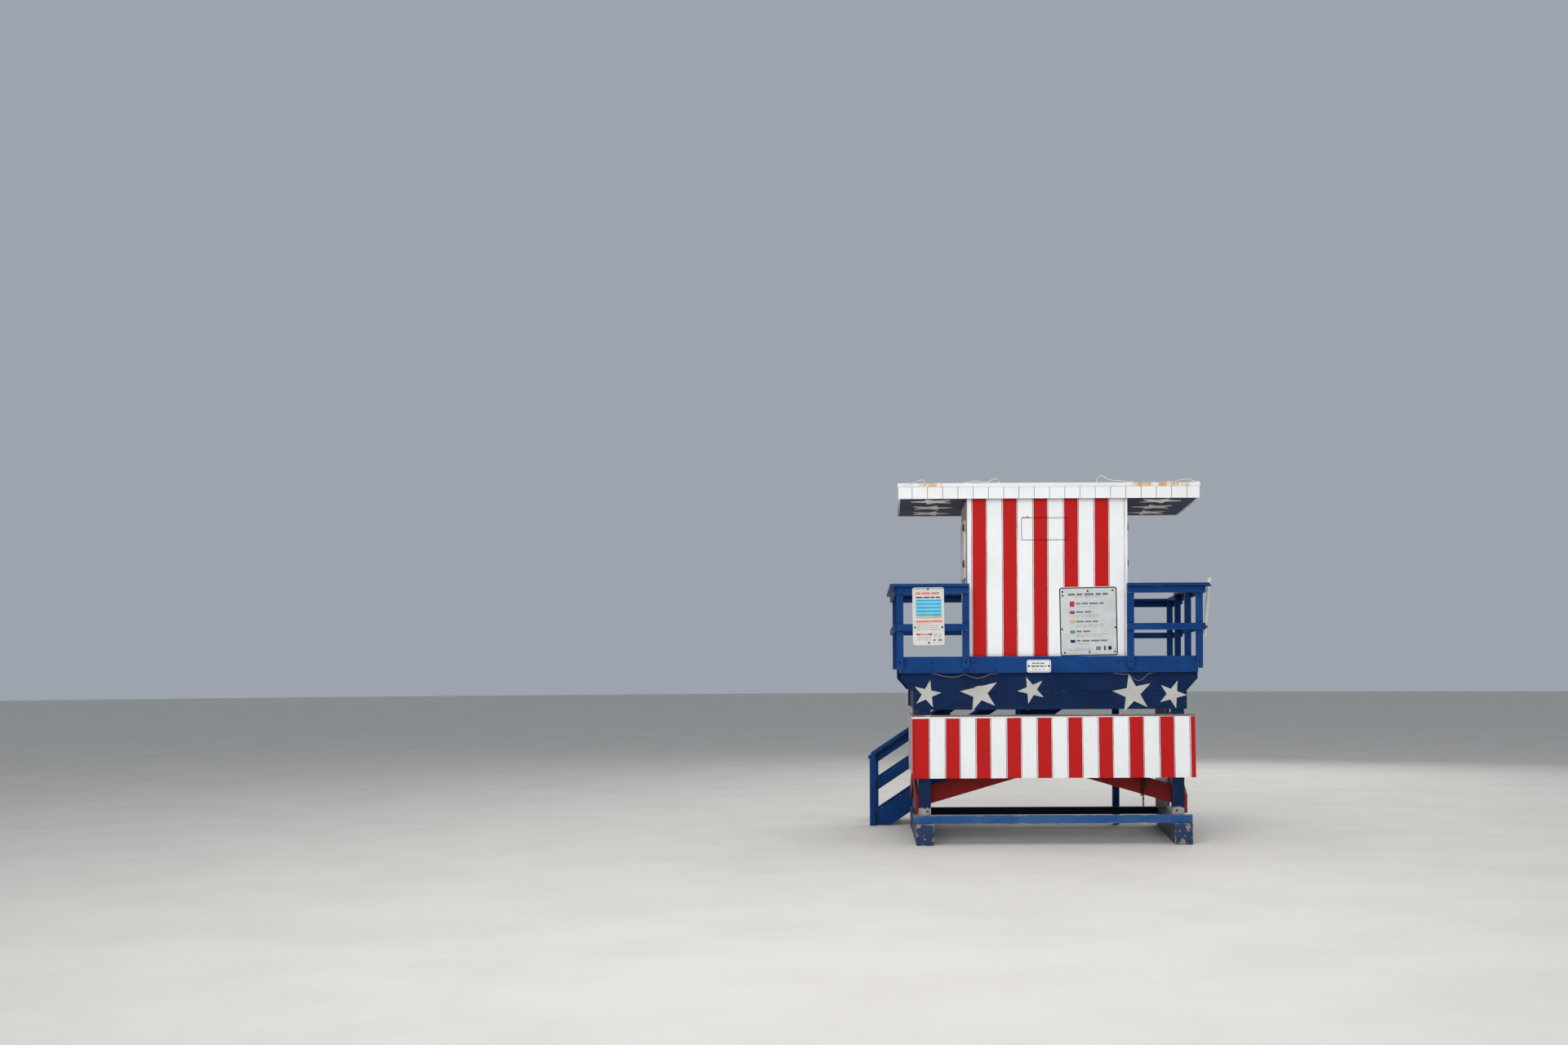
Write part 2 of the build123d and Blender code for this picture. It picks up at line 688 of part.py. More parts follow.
# Cords: slim tubes of straight runs joined by arcs, each end butting against a clip
def cord(name, diameter, points):
    runs = [after - before for before, after in zip(points, points[1:])]
    radii = []
    for run, following in zip(runs, runs[1:]):
        shorter = min(run.length, following.length)
        half_turn = math.radians(run.get_angle(following) / 2)
        radii.append(cord_arc_share * shorter / math.tan(half_turn))
    path = FilletPolyline(*points, radius=radii)
    # the polygon has the area of the round section
    sector = math.tau / cord_sides
    corner = diameter / 2 * math.sqrt(sector / math.sin(sector))
    tube = sweep(Plane(origin=points[0], z_dir=runs[0]) * RegularPolygon(corner, cord_sides), path=path)
    section = math.pi * diameter ** 2 / 4
    print(f"{name}: {path.length:.0f} mm, volume {tube.volume:.0f} for {section * path.length:.0f} mm3,",
          "radii", [round(radius) for radius in radii])
    save(name, tube)


def cables():
    y = deck_front + plank / 2
    clips = []
    for name, route in cable_routes.items():
        cord(name, cable_diameter, [Vector(x, y, fascia_foot - drop) for x, drop in route])
        for x in (route[0][0] - cable_clip_length, route[-1][0]):
            clips.append(block(x, x + cable_clip_length, y - cable_clip_depth / 2, y + cable_clip_depth / 2,
                               fascia_foot - cable_clip_height, fascia_foot))
    save("cable_clips", *clips)


def roof_wires():
    edge, top = roof_front - roof_top_lip, roof_fascia_top + roof_top_height
    half = wire_clip_width / 2
    clips = []
    for name, route in wire_routes.items():
        cord(name, wire_diameter, [Vector(x, edge + behind, top + height) for x, behind, height in route])
        for (x, behind, height), (inner_x, _, _) in ((route[0], route[1]), (route[-1], route[-2])):
            y = edge + behind
            if x == inner_x:
                # the wire stands on its clip
                clips.append(block(x - half, x + half, y - half, y + half, top, top + height))
                continue
            x0, x1 = (x, x + wire_clip_length) if x > inner_x else (x - wire_clip_length, x)
            if behind < 0:
                # the clip is on the front of the edge
                clips.append(block(x0, x1, y - wire_seat, edge, top + height - wire_seat,
                                   top + height + wire_seat))
            else:
                clips.append(block(x0, x1, y - half, y + half, top, top + 2 * wire_seat))
    save("roof_wire_clips", *clips)


# Pole that leans against the right railing, tied at the cap and at the mid rail
def pole():
    y = deck_front + pole_set_back
    tie_radius = pole_radius + pole_tie
    clear = 0.2
    high_z = cap_top - plank / 2
    low_z = deck_top + mid_rail_top - rail_width / 2
    lean = math.atan2(cap_overhang, high_z - low_z)
    seat = tie_radius / math.cos(lean) + pole_tie_height / 2 * math.tan(lean) + clear
    low_x = deck_reach(y) + post_size + plank + seat

    def along(z):
        # place on the pole's middle line, turned to its lean
        x = low_x + (z - low_z) * math.tan(lean)
        return Pos(x, y, z) * Rot(0, math.degrees(lean), 0)

    length = (pole_top - pole_foot) / math.cos(lean)
    shaft = along(pole_foot) * Cylinder(pole_radius, length, align=(Align.CENTER, Align.CENTER, Align.MIN))
    cap = along(pole_top) * Cylinder(pole_cap_radius, pole_cap_height)
    cap = fillet(cap.edges().filter_by(GeomType.CIRCLE), pole_cap_height / 4)
    save("white_pole", shaft + cap)
    ties = []
    for z in (high_z, low_z):
        ring = Cylinder(tie_radius, pole_tie_height) - Cylinder(pole_radius + clear, pole_tie_height)
        ties.append(along(z) * ring)
    save("pole_ties", *ties)


ground_frame()
legs()
girders()
front_braces()
side_braces()
deck()
skirts()
hut()
roof()
stars()
deck_posts()
front_rails()
side_rails()
back_rails()
landing()
landing_rails()
stair()
cables()
roof_wires()
pole()
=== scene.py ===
import bpy
import bmesh
import math
import random
from mathutils import Matrix, Vector


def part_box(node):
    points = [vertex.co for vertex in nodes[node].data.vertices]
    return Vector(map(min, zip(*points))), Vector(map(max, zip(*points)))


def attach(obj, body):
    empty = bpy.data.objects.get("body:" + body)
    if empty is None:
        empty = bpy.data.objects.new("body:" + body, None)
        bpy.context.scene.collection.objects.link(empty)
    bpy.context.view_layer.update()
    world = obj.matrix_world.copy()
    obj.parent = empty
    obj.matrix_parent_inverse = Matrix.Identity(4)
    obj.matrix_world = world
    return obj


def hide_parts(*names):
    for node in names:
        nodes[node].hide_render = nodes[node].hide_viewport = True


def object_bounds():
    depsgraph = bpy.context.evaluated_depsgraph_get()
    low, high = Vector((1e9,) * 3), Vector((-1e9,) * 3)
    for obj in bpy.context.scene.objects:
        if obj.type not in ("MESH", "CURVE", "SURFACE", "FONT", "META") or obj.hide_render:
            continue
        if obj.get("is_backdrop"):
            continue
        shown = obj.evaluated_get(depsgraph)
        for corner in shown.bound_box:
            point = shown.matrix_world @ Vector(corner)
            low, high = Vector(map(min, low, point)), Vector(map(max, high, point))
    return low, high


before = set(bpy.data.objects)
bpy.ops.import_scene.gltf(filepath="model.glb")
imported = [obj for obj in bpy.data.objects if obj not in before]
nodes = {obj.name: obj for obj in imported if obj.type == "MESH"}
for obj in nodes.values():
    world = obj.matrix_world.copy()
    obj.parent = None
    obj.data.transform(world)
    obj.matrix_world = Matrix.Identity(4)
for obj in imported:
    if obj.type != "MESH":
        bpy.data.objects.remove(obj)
cadLow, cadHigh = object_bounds()
print("frame loaded")


def addObject(name, data):
    made = bpy.data.objects.new(name, data)
    bpy.context.scene.collection.objects.link(made)
    return made


# The photograph's view: standing on the beach on the land side, looking level
view = {"place": (-1.393, -24.525, 2.34), "lens": 38.8, "shift": (-0.097, 0.094), "roll": -0.27,
        "reach": 400}
beachCamera = bpy.data.cameras.new("beachCamera")
beachCamera.lens = view["lens"]
beachCamera.shift_x, beachCamera.shift_y = view["shift"]
beachCamera.clip_end = view["reach"]
cameraObject = addObject("beachCamera", beachCamera)
cameraObject.matrix_world = (Matrix.Translation(view["place"]) @ Matrix.Rotation(math.radians(90), 4, "X")
                             @ Matrix.Rotation(math.radians(view["roll"]), 4, "Z"))
bpy.context.scene.camera = cameraObject
bpy.context.scene.view_settings.view_transform = "Standard"

# Soft overcast light, a little stronger from the land side
skyLook = {"colour": (0.48, 0.53, 0.6, 1), "strength": 0.7}
lights = (                      # name, place, aim, size and power
    ("landLight", (-3, -15, 12), (0, 0, 2.5), 12, 1480),
    ("seaLight", (6, 15, 10), (0, 0, 2.5), 10, 700),
    ("topLight", (0, 0, 16), (0, 0, 0), 14, 900),
    ("sandBounce", (0, -5.6, 0.15), (0, -4.8, 6), 7, 170),
)
sky = bpy.data.worlds.new("softSky")
sky.use_nodes = True
skyShader = sky.node_tree.nodes["Background"]
skyShader.inputs["Color"].default_value = skyLook["colour"]
skyShader.inputs["Strength"].default_value = skyLook["strength"]
bpy.context.scene.world = sky
for name, place, aim, size, power in lights:
    light = bpy.data.lights.new(name, "AREA")
    light.size = size
    light.energy = power
    lightObject = addObject(name, light)
    lightObject.location = place
    lightObject.visible_camera = False
    lightObject.rotation_mode = "QUATERNION"
    lightObject.rotation_quaternion = (Vector(aim) - Vector(place)).to_track_quat("-Z", "Y")


# Cords, in metres: the routes run from clip to clip, and the looks are added at the end
cords = {}
shiftX = 0.11774                # middle of the deck in this frame


def addCord(name, points, length, diameter):
    line = bpy.data.curves.new(name, "CURVE")
    line.dimensions = "3D"
    line.bevel_depth = 1            # each point's own radius sets how thick the cord is
    line.bevel_resolution = 4
    line.resolution_u = 8
    line.use_fill_caps = True
    spline = line.splines.new("NURBS")
    spline.points.add(len(points) - 1)
    for spot, place in zip(spline.points, points):
        spot.co = (*place, 1)
        spot.radius = diameter / 2
    spline.order_u = 3
    spline.use_endpoint_u = True
    cords[name] = addObject(name + "_sheath", line)
    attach(cords[name], "root")
    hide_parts(name)
    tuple(points[0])


cable = {"seat": 0.012, "diameter": 0.01, "behind": 0.019}
seat = cable["seat"]
cableRoutes = {                 # length, then distance across and drop below the foot of the fascia
    "left_cable": (0.897, [
        (-1.552, seat), (-1.512, seat), (-1.44, 0.036), (-1.325, 0.056), (-1.215, 0.048), (-1.15, 0.019),
        (-1.11, 0.019), (-1.05, 0.052), (-0.96, 0.07), (-0.87, 0.056), (-0.812, 0.022), (-0.772, 0.015),
        (-0.732, seat), (-0.698, seat)]),
    "right_cable": (0.571, [
        (0.861, seat), (0.895, seat), (0.95, 0.024), (1.005, 0.027), (1.042, 0.02), (1.076, 0.033),
        (1.112, 0.074), (1.165, 0.112), (1.228, 0.104), (1.275, 0.06), (1.305, 0.026), (1.337, seat),
        (1.368, seat)]),
}
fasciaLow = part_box("deck_fascias")[0]
for name, (length, route) in cableRoutes.items():
    points = [(shiftX + x, fasciaLow.y + cable["behind"], fasciaLow.z - drop) for x, drop in route]
    addCord(name, points, length, cable["diameter"])

wire = {"seat": 0.008, "diameter": 0.008}
seat = wire["seat"]
wireRoutes = {                  # length, then distance across, behind the roof's edge and above the roof
    "left_roof_wire": (0.312, [
        (-1.917, -seat, -0.032), (-1.88, -seat, -0.032), (-1.83, -0.009, -0.014), (-1.78, -0.006, 0.014),
        (-1.725, 0.012, 0.036), (-1.688, 0.022, 0.048), (-1.66, 0.027, 0.04), (-1.648, 0.03, 0.022),
        (-1.648, 0.03, seat)]),
    "middle_roof_wire": (0.492, [
        (-1.105, 0.052, seat), (-1.075, 0.052, seat), (-1.035, 0.042, 0.024), (-0.98, 0.03, 0.029),
        (-0.925, 0.024, 0.025), (-0.88, 0.022, 0.011), (-0.84, 0.022, 0.006), (-0.8, 0.022, 0.018),
        (-0.755, 0.024, 0.048), (-0.712, 0.026, 0.061), (-0.682, 0.028, 0.052), (-0.664, 0.03, 0.03),
        (-0.664, 0.03, seat)]),
    "right_roof_wire": (0.529, [
        (0.64, 0.03, seat), (0.64, 0.03, 0.028), (0.655, 0.029, 0.066), (0.684, 0.027, 0.092),
        (0.718, 0.025, 0.09), (0.752, 0.024, 0.066), (0.805, 0.023, 0.038), (0.88, 0.024, 0.026),
        (0.965, 0.026, 0.026), (1.03, 0.033, 0.015), (1.07, 0.036, seat), (1.1, 0.036, seat)]),
    "end_roof_wire": (0.389, [
        (1.6, 0.038, seat), (1.64, 0.038, seat), (1.7, 0.034, 0.02), (1.765, 0.03, 0.036),
        (1.83, 0.028, 0.043), (1.885, 0.028, 0.038), (1.925, 0.029, 0.02), (1.953, 0.03, seat),
        (1.98, 0.03, seat)]),
}
sheetLow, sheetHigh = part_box("roof_top")
for name, (length, route) in wireRoutes.items():
    points = [(shiftX + x, sheetLow.y + behind, sheetHigh.z + height) for x, behind, height in route]
    addCord(name, points, length, wire["diameter"])
print("cords laid")


# Short ways to put shader nodes together; a number or a colour may stand where a socket can
def isSocket(value):
    return isinstance(value, bpy.types.NodeSocket)


def add(tree, kind, inputs, **settings):
    made = tree.nodes.new("ShaderNode" + kind)
    for key, value in settings.items():
        setattr(made, key, value)
    for key, value in inputs.items():
        if isSocket(value):
            tree.links.new(value, made.inputs[key])
        else:
            made.inputs[key].default_value = value
    return made


def calc(operation, *values):
    tree = next(value.id_data for value in values if isSocket(value))
    return add(tree, "Math", dict(enumerate(values)), operation=operation).outputs[0]


def chained(operation):
    def combine(first, *others):
        for other in others:
            first = calc(operation, first, other)
        return first
    return combine


plus, minus, times = chained("ADD"), chained("SUBTRACT"), chained("MULTIPLY")
greatest, least = chained("MAXIMUM"), chained("MINIMUM")


def vector(operation, *values):
    return add(values[0].id_data, "VectorMath", dict(enumerate(values)), operation=operation).outputs[0]


def split(value):
    return add(value.id_data, "SeparateXYZ", {0: value}).outputs[:]


def mixed(factor, first, second):
    colours = [value if isSocket(value) else (*value, 1) for value in (first, second)]
    return add(factor.id_data, "Mix", {0: factor, 6: colours[0], 7: colours[1]}, data_type="RGBA").outputs[2]


def noise(spot, scale, detail=4, roughness=0.55, stretch=None):
    if stretch:
        spot = vector("MULTIPLY", spot, stretch)
    return add(spot.id_data, "TexNoise", {"Vector": spot, "Scale": scale, "Detail": detail,
                                          "Roughness": roughness}).outputs[0]


def rise(value, low, high):
    return add(value.id_data, "MapRange", {"Value": value, "From Min": low, "From Max": high},
               interpolation_type="SMOOTHSTEP").outputs[0]


def fall(value, low, high):
    return minus(1.0, rise(value, low, high))


def band(value, start, end, soft):
    return times(rise(value, start, start + soft), fall(value, end, end + soft))


def attribute(tree, name, part="Fac"):
    return add(tree, "Attribute", {}, attribute_name=name).outputs[part]


def objectSpot(tree):
    return add(tree, "TexCoord", {}).outputs["Object"]


def newMaterial(name):
    material = bpy.data.materials.new(name)
    material.use_nodes = True
    return material, material.node_tree, material.node_tree.nodes["Principled BSDF"]


def finishShader(shader, colour, roughness, height, strength, distance):
    tree = shader.id_data
    bump = add(tree, "Bump", {"Strength": strength, "Distance": distance, "Height": height})
    shader.inputs["Specular IOR Level"].default_value = 0.1
    for key, value in (("Base Color", colour), ("Roughness", roughness), ("Normal", bump.outputs[0])):
        tree.links.new(value, shader.inputs[key])


# Paint or bare wood on separate boards. Every board carries its own length, width and thickness
# directions, so the grain follows it and the paint wears off along its edges.
paintLook = {
    "woodPale": (0.36, 0.33, 0.29), "woodDark": (0.12, 0.10, 0.085), "streak": 0.12, "gloss": 0.38,
    "chipScale": 11, "edgeKeep": 0.52, "edgeReach": 0.03, "edgeBlur": 0.0015, "flatKeep": 0.76,
    "flatBlur": 0.03, "grainDepth": 0.4, "tintShare": 0.22, "apart": (37, 17, 23), "wave": 0.12,
    "footBlur": 0.01, "bandBlur": 0.012,
}
woodLook = {**paintLook, "woodPale": (0.44, 0.41, 0.37), "woodDark": (0.11, 0.095, 0.08), "flatKeep": 0.62,
            "streak": 0.8, "gloss": 0.62, "grainDepth": 1.1}
greyWood = ((0.27, 0.245, 0.215), (0.36, 0.33, 0.29), (0.19, 0.165, 0.14))


def timberFinish(name, base, paint, faded, shade, changes):
    look = {**base, **changes}
    material, tree, shader = newMaterial(name)
    place, half = attribute(tree, "boardPlace", "Vector"), attribute(tree, "boardHalf", "Vector")
    tint = attribute(tree, "boardTint")
    apart = {axis: times(tint, far) for axis, far in enumerate(look["apart"])}
    spot = vector("ADD", place, add(tree, "CombineXYZ", apart).outputs[0])
    grain = noise(spot, 5.5, detail=8, roughness=0.62, stretch=(1.1, 15, 15))
    blotch = noise(spot, 2.6, detail=5, stretch=(0.7, 1, 1))
    chips = noise(spot, look["chipScale"], detail=8, roughness=0.62, stretch=(0.45, 1, 1))

    # On the surface one distance to the sides is nothing, and the next one up leads to the nearest edge
    toSides = split(vector("SUBTRACT", half, vector("ABSOLUTE", place)))
    toEdge = minus(plus(*toSides), greatest(*toSides), least(*toSides))
    reach = times(minus(chips, look["edgeKeep"]), look["edgeReach"])
    edgeWear = rise(minus(reach, toEdge), 0.0, look["edgeBlur"])
    bare = greatest(edgeWear, rise(chips, look["flatKeep"], look["flatKeep"] + look["flatBlur"]))
    wavy = plus(split(objectSpot(tree))[2], times(minus(chips, 0.5), look["wave"]))
    if "bareBelow" in look:
        foot = fall(wavy, look["bareBelow"] - look["footBlur"], look["bareBelow"] + look["footBlur"])
        bare = greatest(bare, foot)

    wood = mixed(rise(grain, 0.3, 0.7), look["woodDark"], look["woodPale"])
    paint = mixed(rise(blotch, 0.35, 0.7), paint, faded)
    paint = mixed(times(rise(grain, 0.5, 0.75), look["streak"]), paint, look["woodDark"])
    paint = mixed(times(tint, look["tintShare"]), paint, shade)
    if "band" in look:
        low, top, bandColour = look["band"]
        blur = look["bandBlur"]
        paint = mixed(band(wavy, low - blur, top - blur, 2 * blur), paint, bandColour)
    roughness = plus(times(bare, 0.3), plus(look["gloss"], times(blotch, 0.15)))
    height = minus(times(grain, look["grainDepth"]), times(bare, 0.35))
    finishShader(shader, mixed(bare, paint, wood), roughness, height, 0.55, 0.0025)
    return material


timberLooks = (                 # name, base look, paint, faded, shade and what differs from the base
    ("bluePaint", paintLook, (0.002, 0.037, 0.168), (0.006, 0.055, 0.205), (0.001, 0.022, 0.105), {}),
    ("navyPaint", paintLook, (0.001, 0.013, 0.06), (0.003, 0.021, 0.082), (0.001, 0.008, 0.036), {}),
    # legs: the blue paint darkened as painted shade under the deck; their feet are bare wood
    ("shadedLegPaint", paintLook, (0.003, 0.016, 0.062), (0.005, 0.028, 0.1), (0.002, 0.01, 0.036), {
        "woodPale": (0.5, 0.47, 0.43), "woodDark": (0.22, 0.2, 0.175), "edgeKeep": 0.47, "bareBelow": 0.49}),
    ("beamPaint", paintLook, (0.018, 0.085, 0.26), (0.05, 0.125, 0.29), (0.01, 0.05, 0.18), {
        "edgeKeep": 0.44, "edgeReach": 0.07, "flatKeep": 0.68, "streak": 0.3}),
    # the back base beam: near-black blue as painted shade
    ("shadedBeam", paintLook, (0.003, 0.006, 0.022), (0.006, 0.012, 0.036), (0.002, 0.003, 0.01), {
        "woodPale": (0.07, 0.06, 0.05), "woodDark": (0.03, 0.025, 0.02)}),
    ("skidPaint", paintLook, (0.02, 0.05, 0.115), (0.045, 0.065, 0.11), (0.012, 0.02, 0.04), {
        "woodPale": (0.42, 0.37, 0.31), "woodDark": (0.16, 0.13, 0.1), "edgeKeep": 0.38, "edgeReach": 0.075,
        "chipScale": 9, "flatKeep": 0.565, "streak": 0.55, "grainDepth": 1.3}),
    # braces: the siding's red darkened as painted shade under the deck
    ("shadedBraceRed", paintLook, (0.19, 0.006, 0.006), (0.24, 0.012, 0.01), (0.1, 0.004, 0.004), {"streak": 0.1}),
    ("whitePaint", paintLook, (0.84, 0.845, 0.84), (0.78, 0.775, 0.76), (0.66, 0.65, 0.63), {
        "streak": 0.06}),
    ("treadWood", woodLook, (0.3, 0.285, 0.26), (0.4, 0.385, 0.36), (0.2, 0.185, 0.17), {
        "woodPale": (0.5, 0.48, 0.45), "woodDark": (0.13, 0.12, 0.105), "flatKeep": 0.6, "edgeKeep": 0.4,
        "grainDepth": 1.2}),
    ("frameWood", woodLook, *greyWood, {}),
    ("backLegWood", woodLook, *greyWood, {"band": (0.6, 1.5, (0.9, 0.9, 0.89)), "streak": 0.5}),
    ("shadedBattenWood", woodLook, (0.17, 0.125, 0.12), (0.22, 0.17, 0.16), (0.1, 0.075, 0.07), {}),
)
timbers = {look[0]: timberFinish(*look) for look in timberLooks}

# Grooved plywood siding. U of its map runs along the wall and V up it, in metres.
sidingLook = {
    "white": (0.84, 0.85, 0.85), "whiteWorn": (0.8, 0.8, 0.79), "red": (0.5, 0.008, 0.009),
    "redWorn": (0.45, 0.012, 0.011), "wood": (0.4, 0.36, 0.31), "rust": (0.46, 0.29, 0.15),
    "dirtColour": (0.42, 0.36, 0.29), "redDirt": (0.16, 0.035, 0.025), "dirt": 0.14, "grainDirt": 0.1,
    "groove": (0.07, 0.035, 0.025), "grooveShadeLimit": 0.9, "sway": 0.006, "stripeBlur": 0.0015, "keep": 0.77,
    "chipBlur": 0.02, "ragged": 2.4,
}
wallStripes = {"pitch": 0.4082, "stripe": 0.183, "start": -0.9012, "lastRed": 1.0, "redBefore": -9.0}
skirtStripes = {"pitch": 0.4087, "stripe": 0.184, "start": -1.2671, "lastRed": 9.0, "redBefore": -1.6}


def sidingFinish(name, **changes):
    look = {**sidingLook, **changes}
    material, tree, shader = newMaterial(name)
    spot = add(tree, "UVMap", {}, uv_map="siding").outputs[0]
    grain = noise(spot, 6, detail=8, roughness=0.65, stretch=(30, 1.4, 1))
    blotch = noise(spot, 2.2, detail=5)
    chips = noise(spot, 24, detail=7, roughness=0.6, stretch=(1.6, 0.8, 1))
    drips = noise(spot, 2.4, detail=5, stretch=(22, 0.7, 1))
    worn = rise(blotch, 0.3, 0.75)
    paint, dirtColour = mixed(worn, look["white"], look["whiteWorn"]), look["dirtColour"]
    if "pitch" in look:
        along = split(spot)[0]
        sway = times(minus(noise(spot, 9, detail=3), 0.5), look["sway"])
        repeat = calc("DIVIDE", minus(plus(along, sway), look["start"]), look["pitch"])
        inRed = band(times(calc("FRACT", repeat), look["pitch"]), 0.0, look["stripe"], look["stripeBlur"])
        inRed = times(inRed, calc("LESS_THAN", along, look["lastRed"]))
        inRed = greatest(inRed, calc("LESS_THAN", along, look["redBefore"]))
        paint = mixed(inRed, paint, mixed(worn, look["red"], look["redWorn"]))
        dirtColour = mixed(inRed, dirtColour, look["redDirt"])
    colour = mixed(times(rise(drips, 0.5, 0.8), look["dirt"]), paint, dirtColour)
    colour = mixed(times(rise(grain, 0.55, 0.8), look["grainDirt"]), colour, dirtColour)
    # grooves and the hatch pocket's floor are painted dark brown: painted shade in the recesses, mixed with
    # dirt where the drips run
    grooveShadeAndDirt = times(rise(attribute(tree, "groove"), 0.1, 0.75), plus(0.45, rise(drips, 0.3, 0.7)))
    colour = mixed(least(grooveShadeAndDirt, look["grooveShadeLimit"]), colour, look["groove"])
    for spotAlong, spotUp, wide, tall in look.get("rustSpots", ()):
        away = vector("MULTIPLY", vector("SUBTRACT", spot, (spotAlong, spotUp, 0)), (1 / wide, 1 / tall, 0))
        far = add(tree, "VectorMath", {0: away}, operation="LENGTH").outputs["Value"]
        ragged = plus(far, times(minus(chips, 0.5), look["ragged"]))
        colour = mixed(fall(ragged, 0.5, 1.0), colour, look["rust"])
    bare = rise(chips, look["keep"], look["keep"] + look["chipBlur"])
    roughness = plus(0.42, times(plus(blotch, bare), 0.25))
    height = minus(times(grain, 0.7), times(bare, 0.4))
    finishShader(shader, mixed(bare, colour, look["wood"]), roughness, height, 0.4, 0.0018)
    return material


hatchLow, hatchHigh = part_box("vent_hatch")
rustSpots = (                   # at the hatch's top left corner: along, up, width and height
    (hatchLow.x + 0.03, hatchHigh.z + 0.002, 0.035, 0.014),
    (hatchLow.x + 0.08, hatchHigh.z + 0.006, 0.035, 0.02),
)
edgeSiding = sidingFinish("edgeSiding", groove=(0.2, 0.19, 0.18))
innerPly = sidingFinish("innerPly", white=(0.56, 0.54, 0.5), whiteWorn=(0.47, 0.45, 0.41), dirt=0.3)
landSiding = sidingFinish("landSiding", **wallStripes, rustSpots=rustSpots)
wallSiding = sidingFinish("wallSiding", **wallStripes)
skirtSiding = sidingFinish("skirtSiding", **skirtStripes, dirt=0.2)


# Sheets, cut-outs, plates and plastics, patterned on their place
def plainFinish(name, colour, worn, mark, scale, keep=0.66, gloss=0.5, grainDepth=0.0004, metal=0.0):
    material, tree, shader = newMaterial(name)
    spot = objectSpot(tree)
    blotch = noise(spot, scale, detail=5)
    fine = noise(spot, scale * 14, detail=6, roughness=0.6)
    marks = noise(spot, scale * 5, detail=7, roughness=0.62)
    colour = mixed(rise(blotch, 0.35, 0.7), colour, worn)
    colour = mixed(rise(marks, keep, keep + 0.05), colour, mark)
    finishShader(shader, colour, plus(gloss, times(fine, 0.2)), fine, 0.25, grainDepth)
    shader.inputs["Metallic"].default_value = metal
    return material


print("finishes made")


# Making of pieces
merging = {"apart": 0.00002, "angle": 0.01}     # what becomes one in a copied node
tiny = 0.00001                  # nearer than this, two places are the same
facing = 0.9                    # a face looks along an axis when its normal does by this share
upwards, toLand = Vector((0, 0, 1)), Vector((0, -1, 0))


def addPiece(name, bm, materials, slot, stands=()):
    mesh = bpy.data.meshes.new(name)
    bm.to_mesh(mesh)
    bm.free()
    for material in materials:
        mesh.materials.append(material)
    piece = addObject(name, mesh)
    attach(piece, "root")
    if stands:
        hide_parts(*stands)


def copyNode(node):
    bm = bmesh.new()
    bm.from_mesh(nodes[node].data)
    bmesh.ops.remove_doubles(bm, verts=bm.verts, dist=merging["apart"])
    bmesh.ops.dissolve_limit(bm, angle_limit=merging["angle"], verts=bm.verts, edges=bm.edges)
    for face in bm.faces:
        face.smooth = False
        face.material_index = 0
    return bm


def dress(node, material):
    nodes[node].data.materials.clear()
    nodes[node].data.materials.append(material)


def roundEdges(bm, width, segments=2, edges=None, clamp=True):
    bmesh.ops.bevel(bm, geom=list(edges or bm.edges), offset=width, offset_type="OFFSET", segments=segments,
                    profile=0.5, affect="EDGES", clamp_overlap=clamp, material=-1)


def shift(bm, verts, vec):
    bmesh.ops.translate(bm, vec=vec, verts=verts)


def turn(bm, verts, degrees, axis, about=(0, 0, 0)):
    bmesh.ops.rotate(bm, cent=about, matrix=Matrix.Rotation(math.radians(degrees), 3, axis), verts=verts)


def edgesOf(verts):
    return list(dict.fromkeys(edge for vert in verts for edge in vert.link_edges))


def facesOf(verts):
    return list(dict.fromkeys(face for vert in verts for face in vert.link_faces))


def largest(bm, way):
    # the largest face that looks that way
    return max(bm.faces, key=lambda face: face.calc_area() if face.normal.dot(way) > facing else 0)


def inset(bm, face, wide, deep=0.0):
    return bmesh.ops.inset_region(bm, faces=[face], thickness=wide, depth=deep,
                                  use_even_offset=True)["faces"]


def cone(bm, segments, foot, top, tall):
    return bmesh.ops.create_cone(bm, segments=segments, cap_ends=True, radius1=foot, radius2=top,
                                 depth=tall)["verts"]


def extruded(bm, faces):
    made = bmesh.ops.extrude_face_region(bm, geom=faces)["geom"]
    return [item for item in made if isinstance(item, bmesh.types.BMVert)]


def box(bm, low, high):
    made = bmesh.ops.create_cube(bm, size=1)["verts"]
    bmesh.ops.scale(bm, vec=[b - a for a, b in zip(low, high)], verts=made)
    shift(bm, made, [(a + b) / 2 for a, b in zip(low, high)])
    return made


def everything(bm):
    return bm.verts[:] + bm.edges[:] + bm.faces[:]


def cutThrough(bm, geom, point, normal, clear=False):
    return bmesh.ops.bisect_plane(bm, geom=geom, dist=tiny, plane_co=point, plane_no=normal,
                                  clear_outer=clear)["geom_cut"]


def cutOff(bm, point, normal):
    cut = cutThrough(bm, everything(bm), point, normal, clear=True)
    rim = [item for item in cut if isinstance(item, bmesh.types.BMEdge)]
    bmesh.ops.holes_fill(bm, edges=rim, sides=0)


def putAt(bm, put):
    # moves every point to its place and turns the faces outwards
    for vert in bm.verts:
        vert.co = Vector(put(*vert.co))
    bmesh.ops.recalc_face_normals(bm, faces=bm.faces)


def gather(target, part):
    spare = bpy.data.meshes.new("spare")
    part.to_mesh(spare)
    part.free()
    target.from_mesh(spare)
    bpy.data.meshes.remove(spare)


def islands(bm):
    done = set()
    for start in bm.verts:
        if start in done:
            continue
        found, queue = [], [start]
        done.add(start)
        while queue:
            vert = queue.pop()
            found.append(vert)
            for edge in vert.link_edges:
                other = edge.other_vert(vert)
                if other not in done:
                    done.add(other)
                    queue.append(other)
        yield found


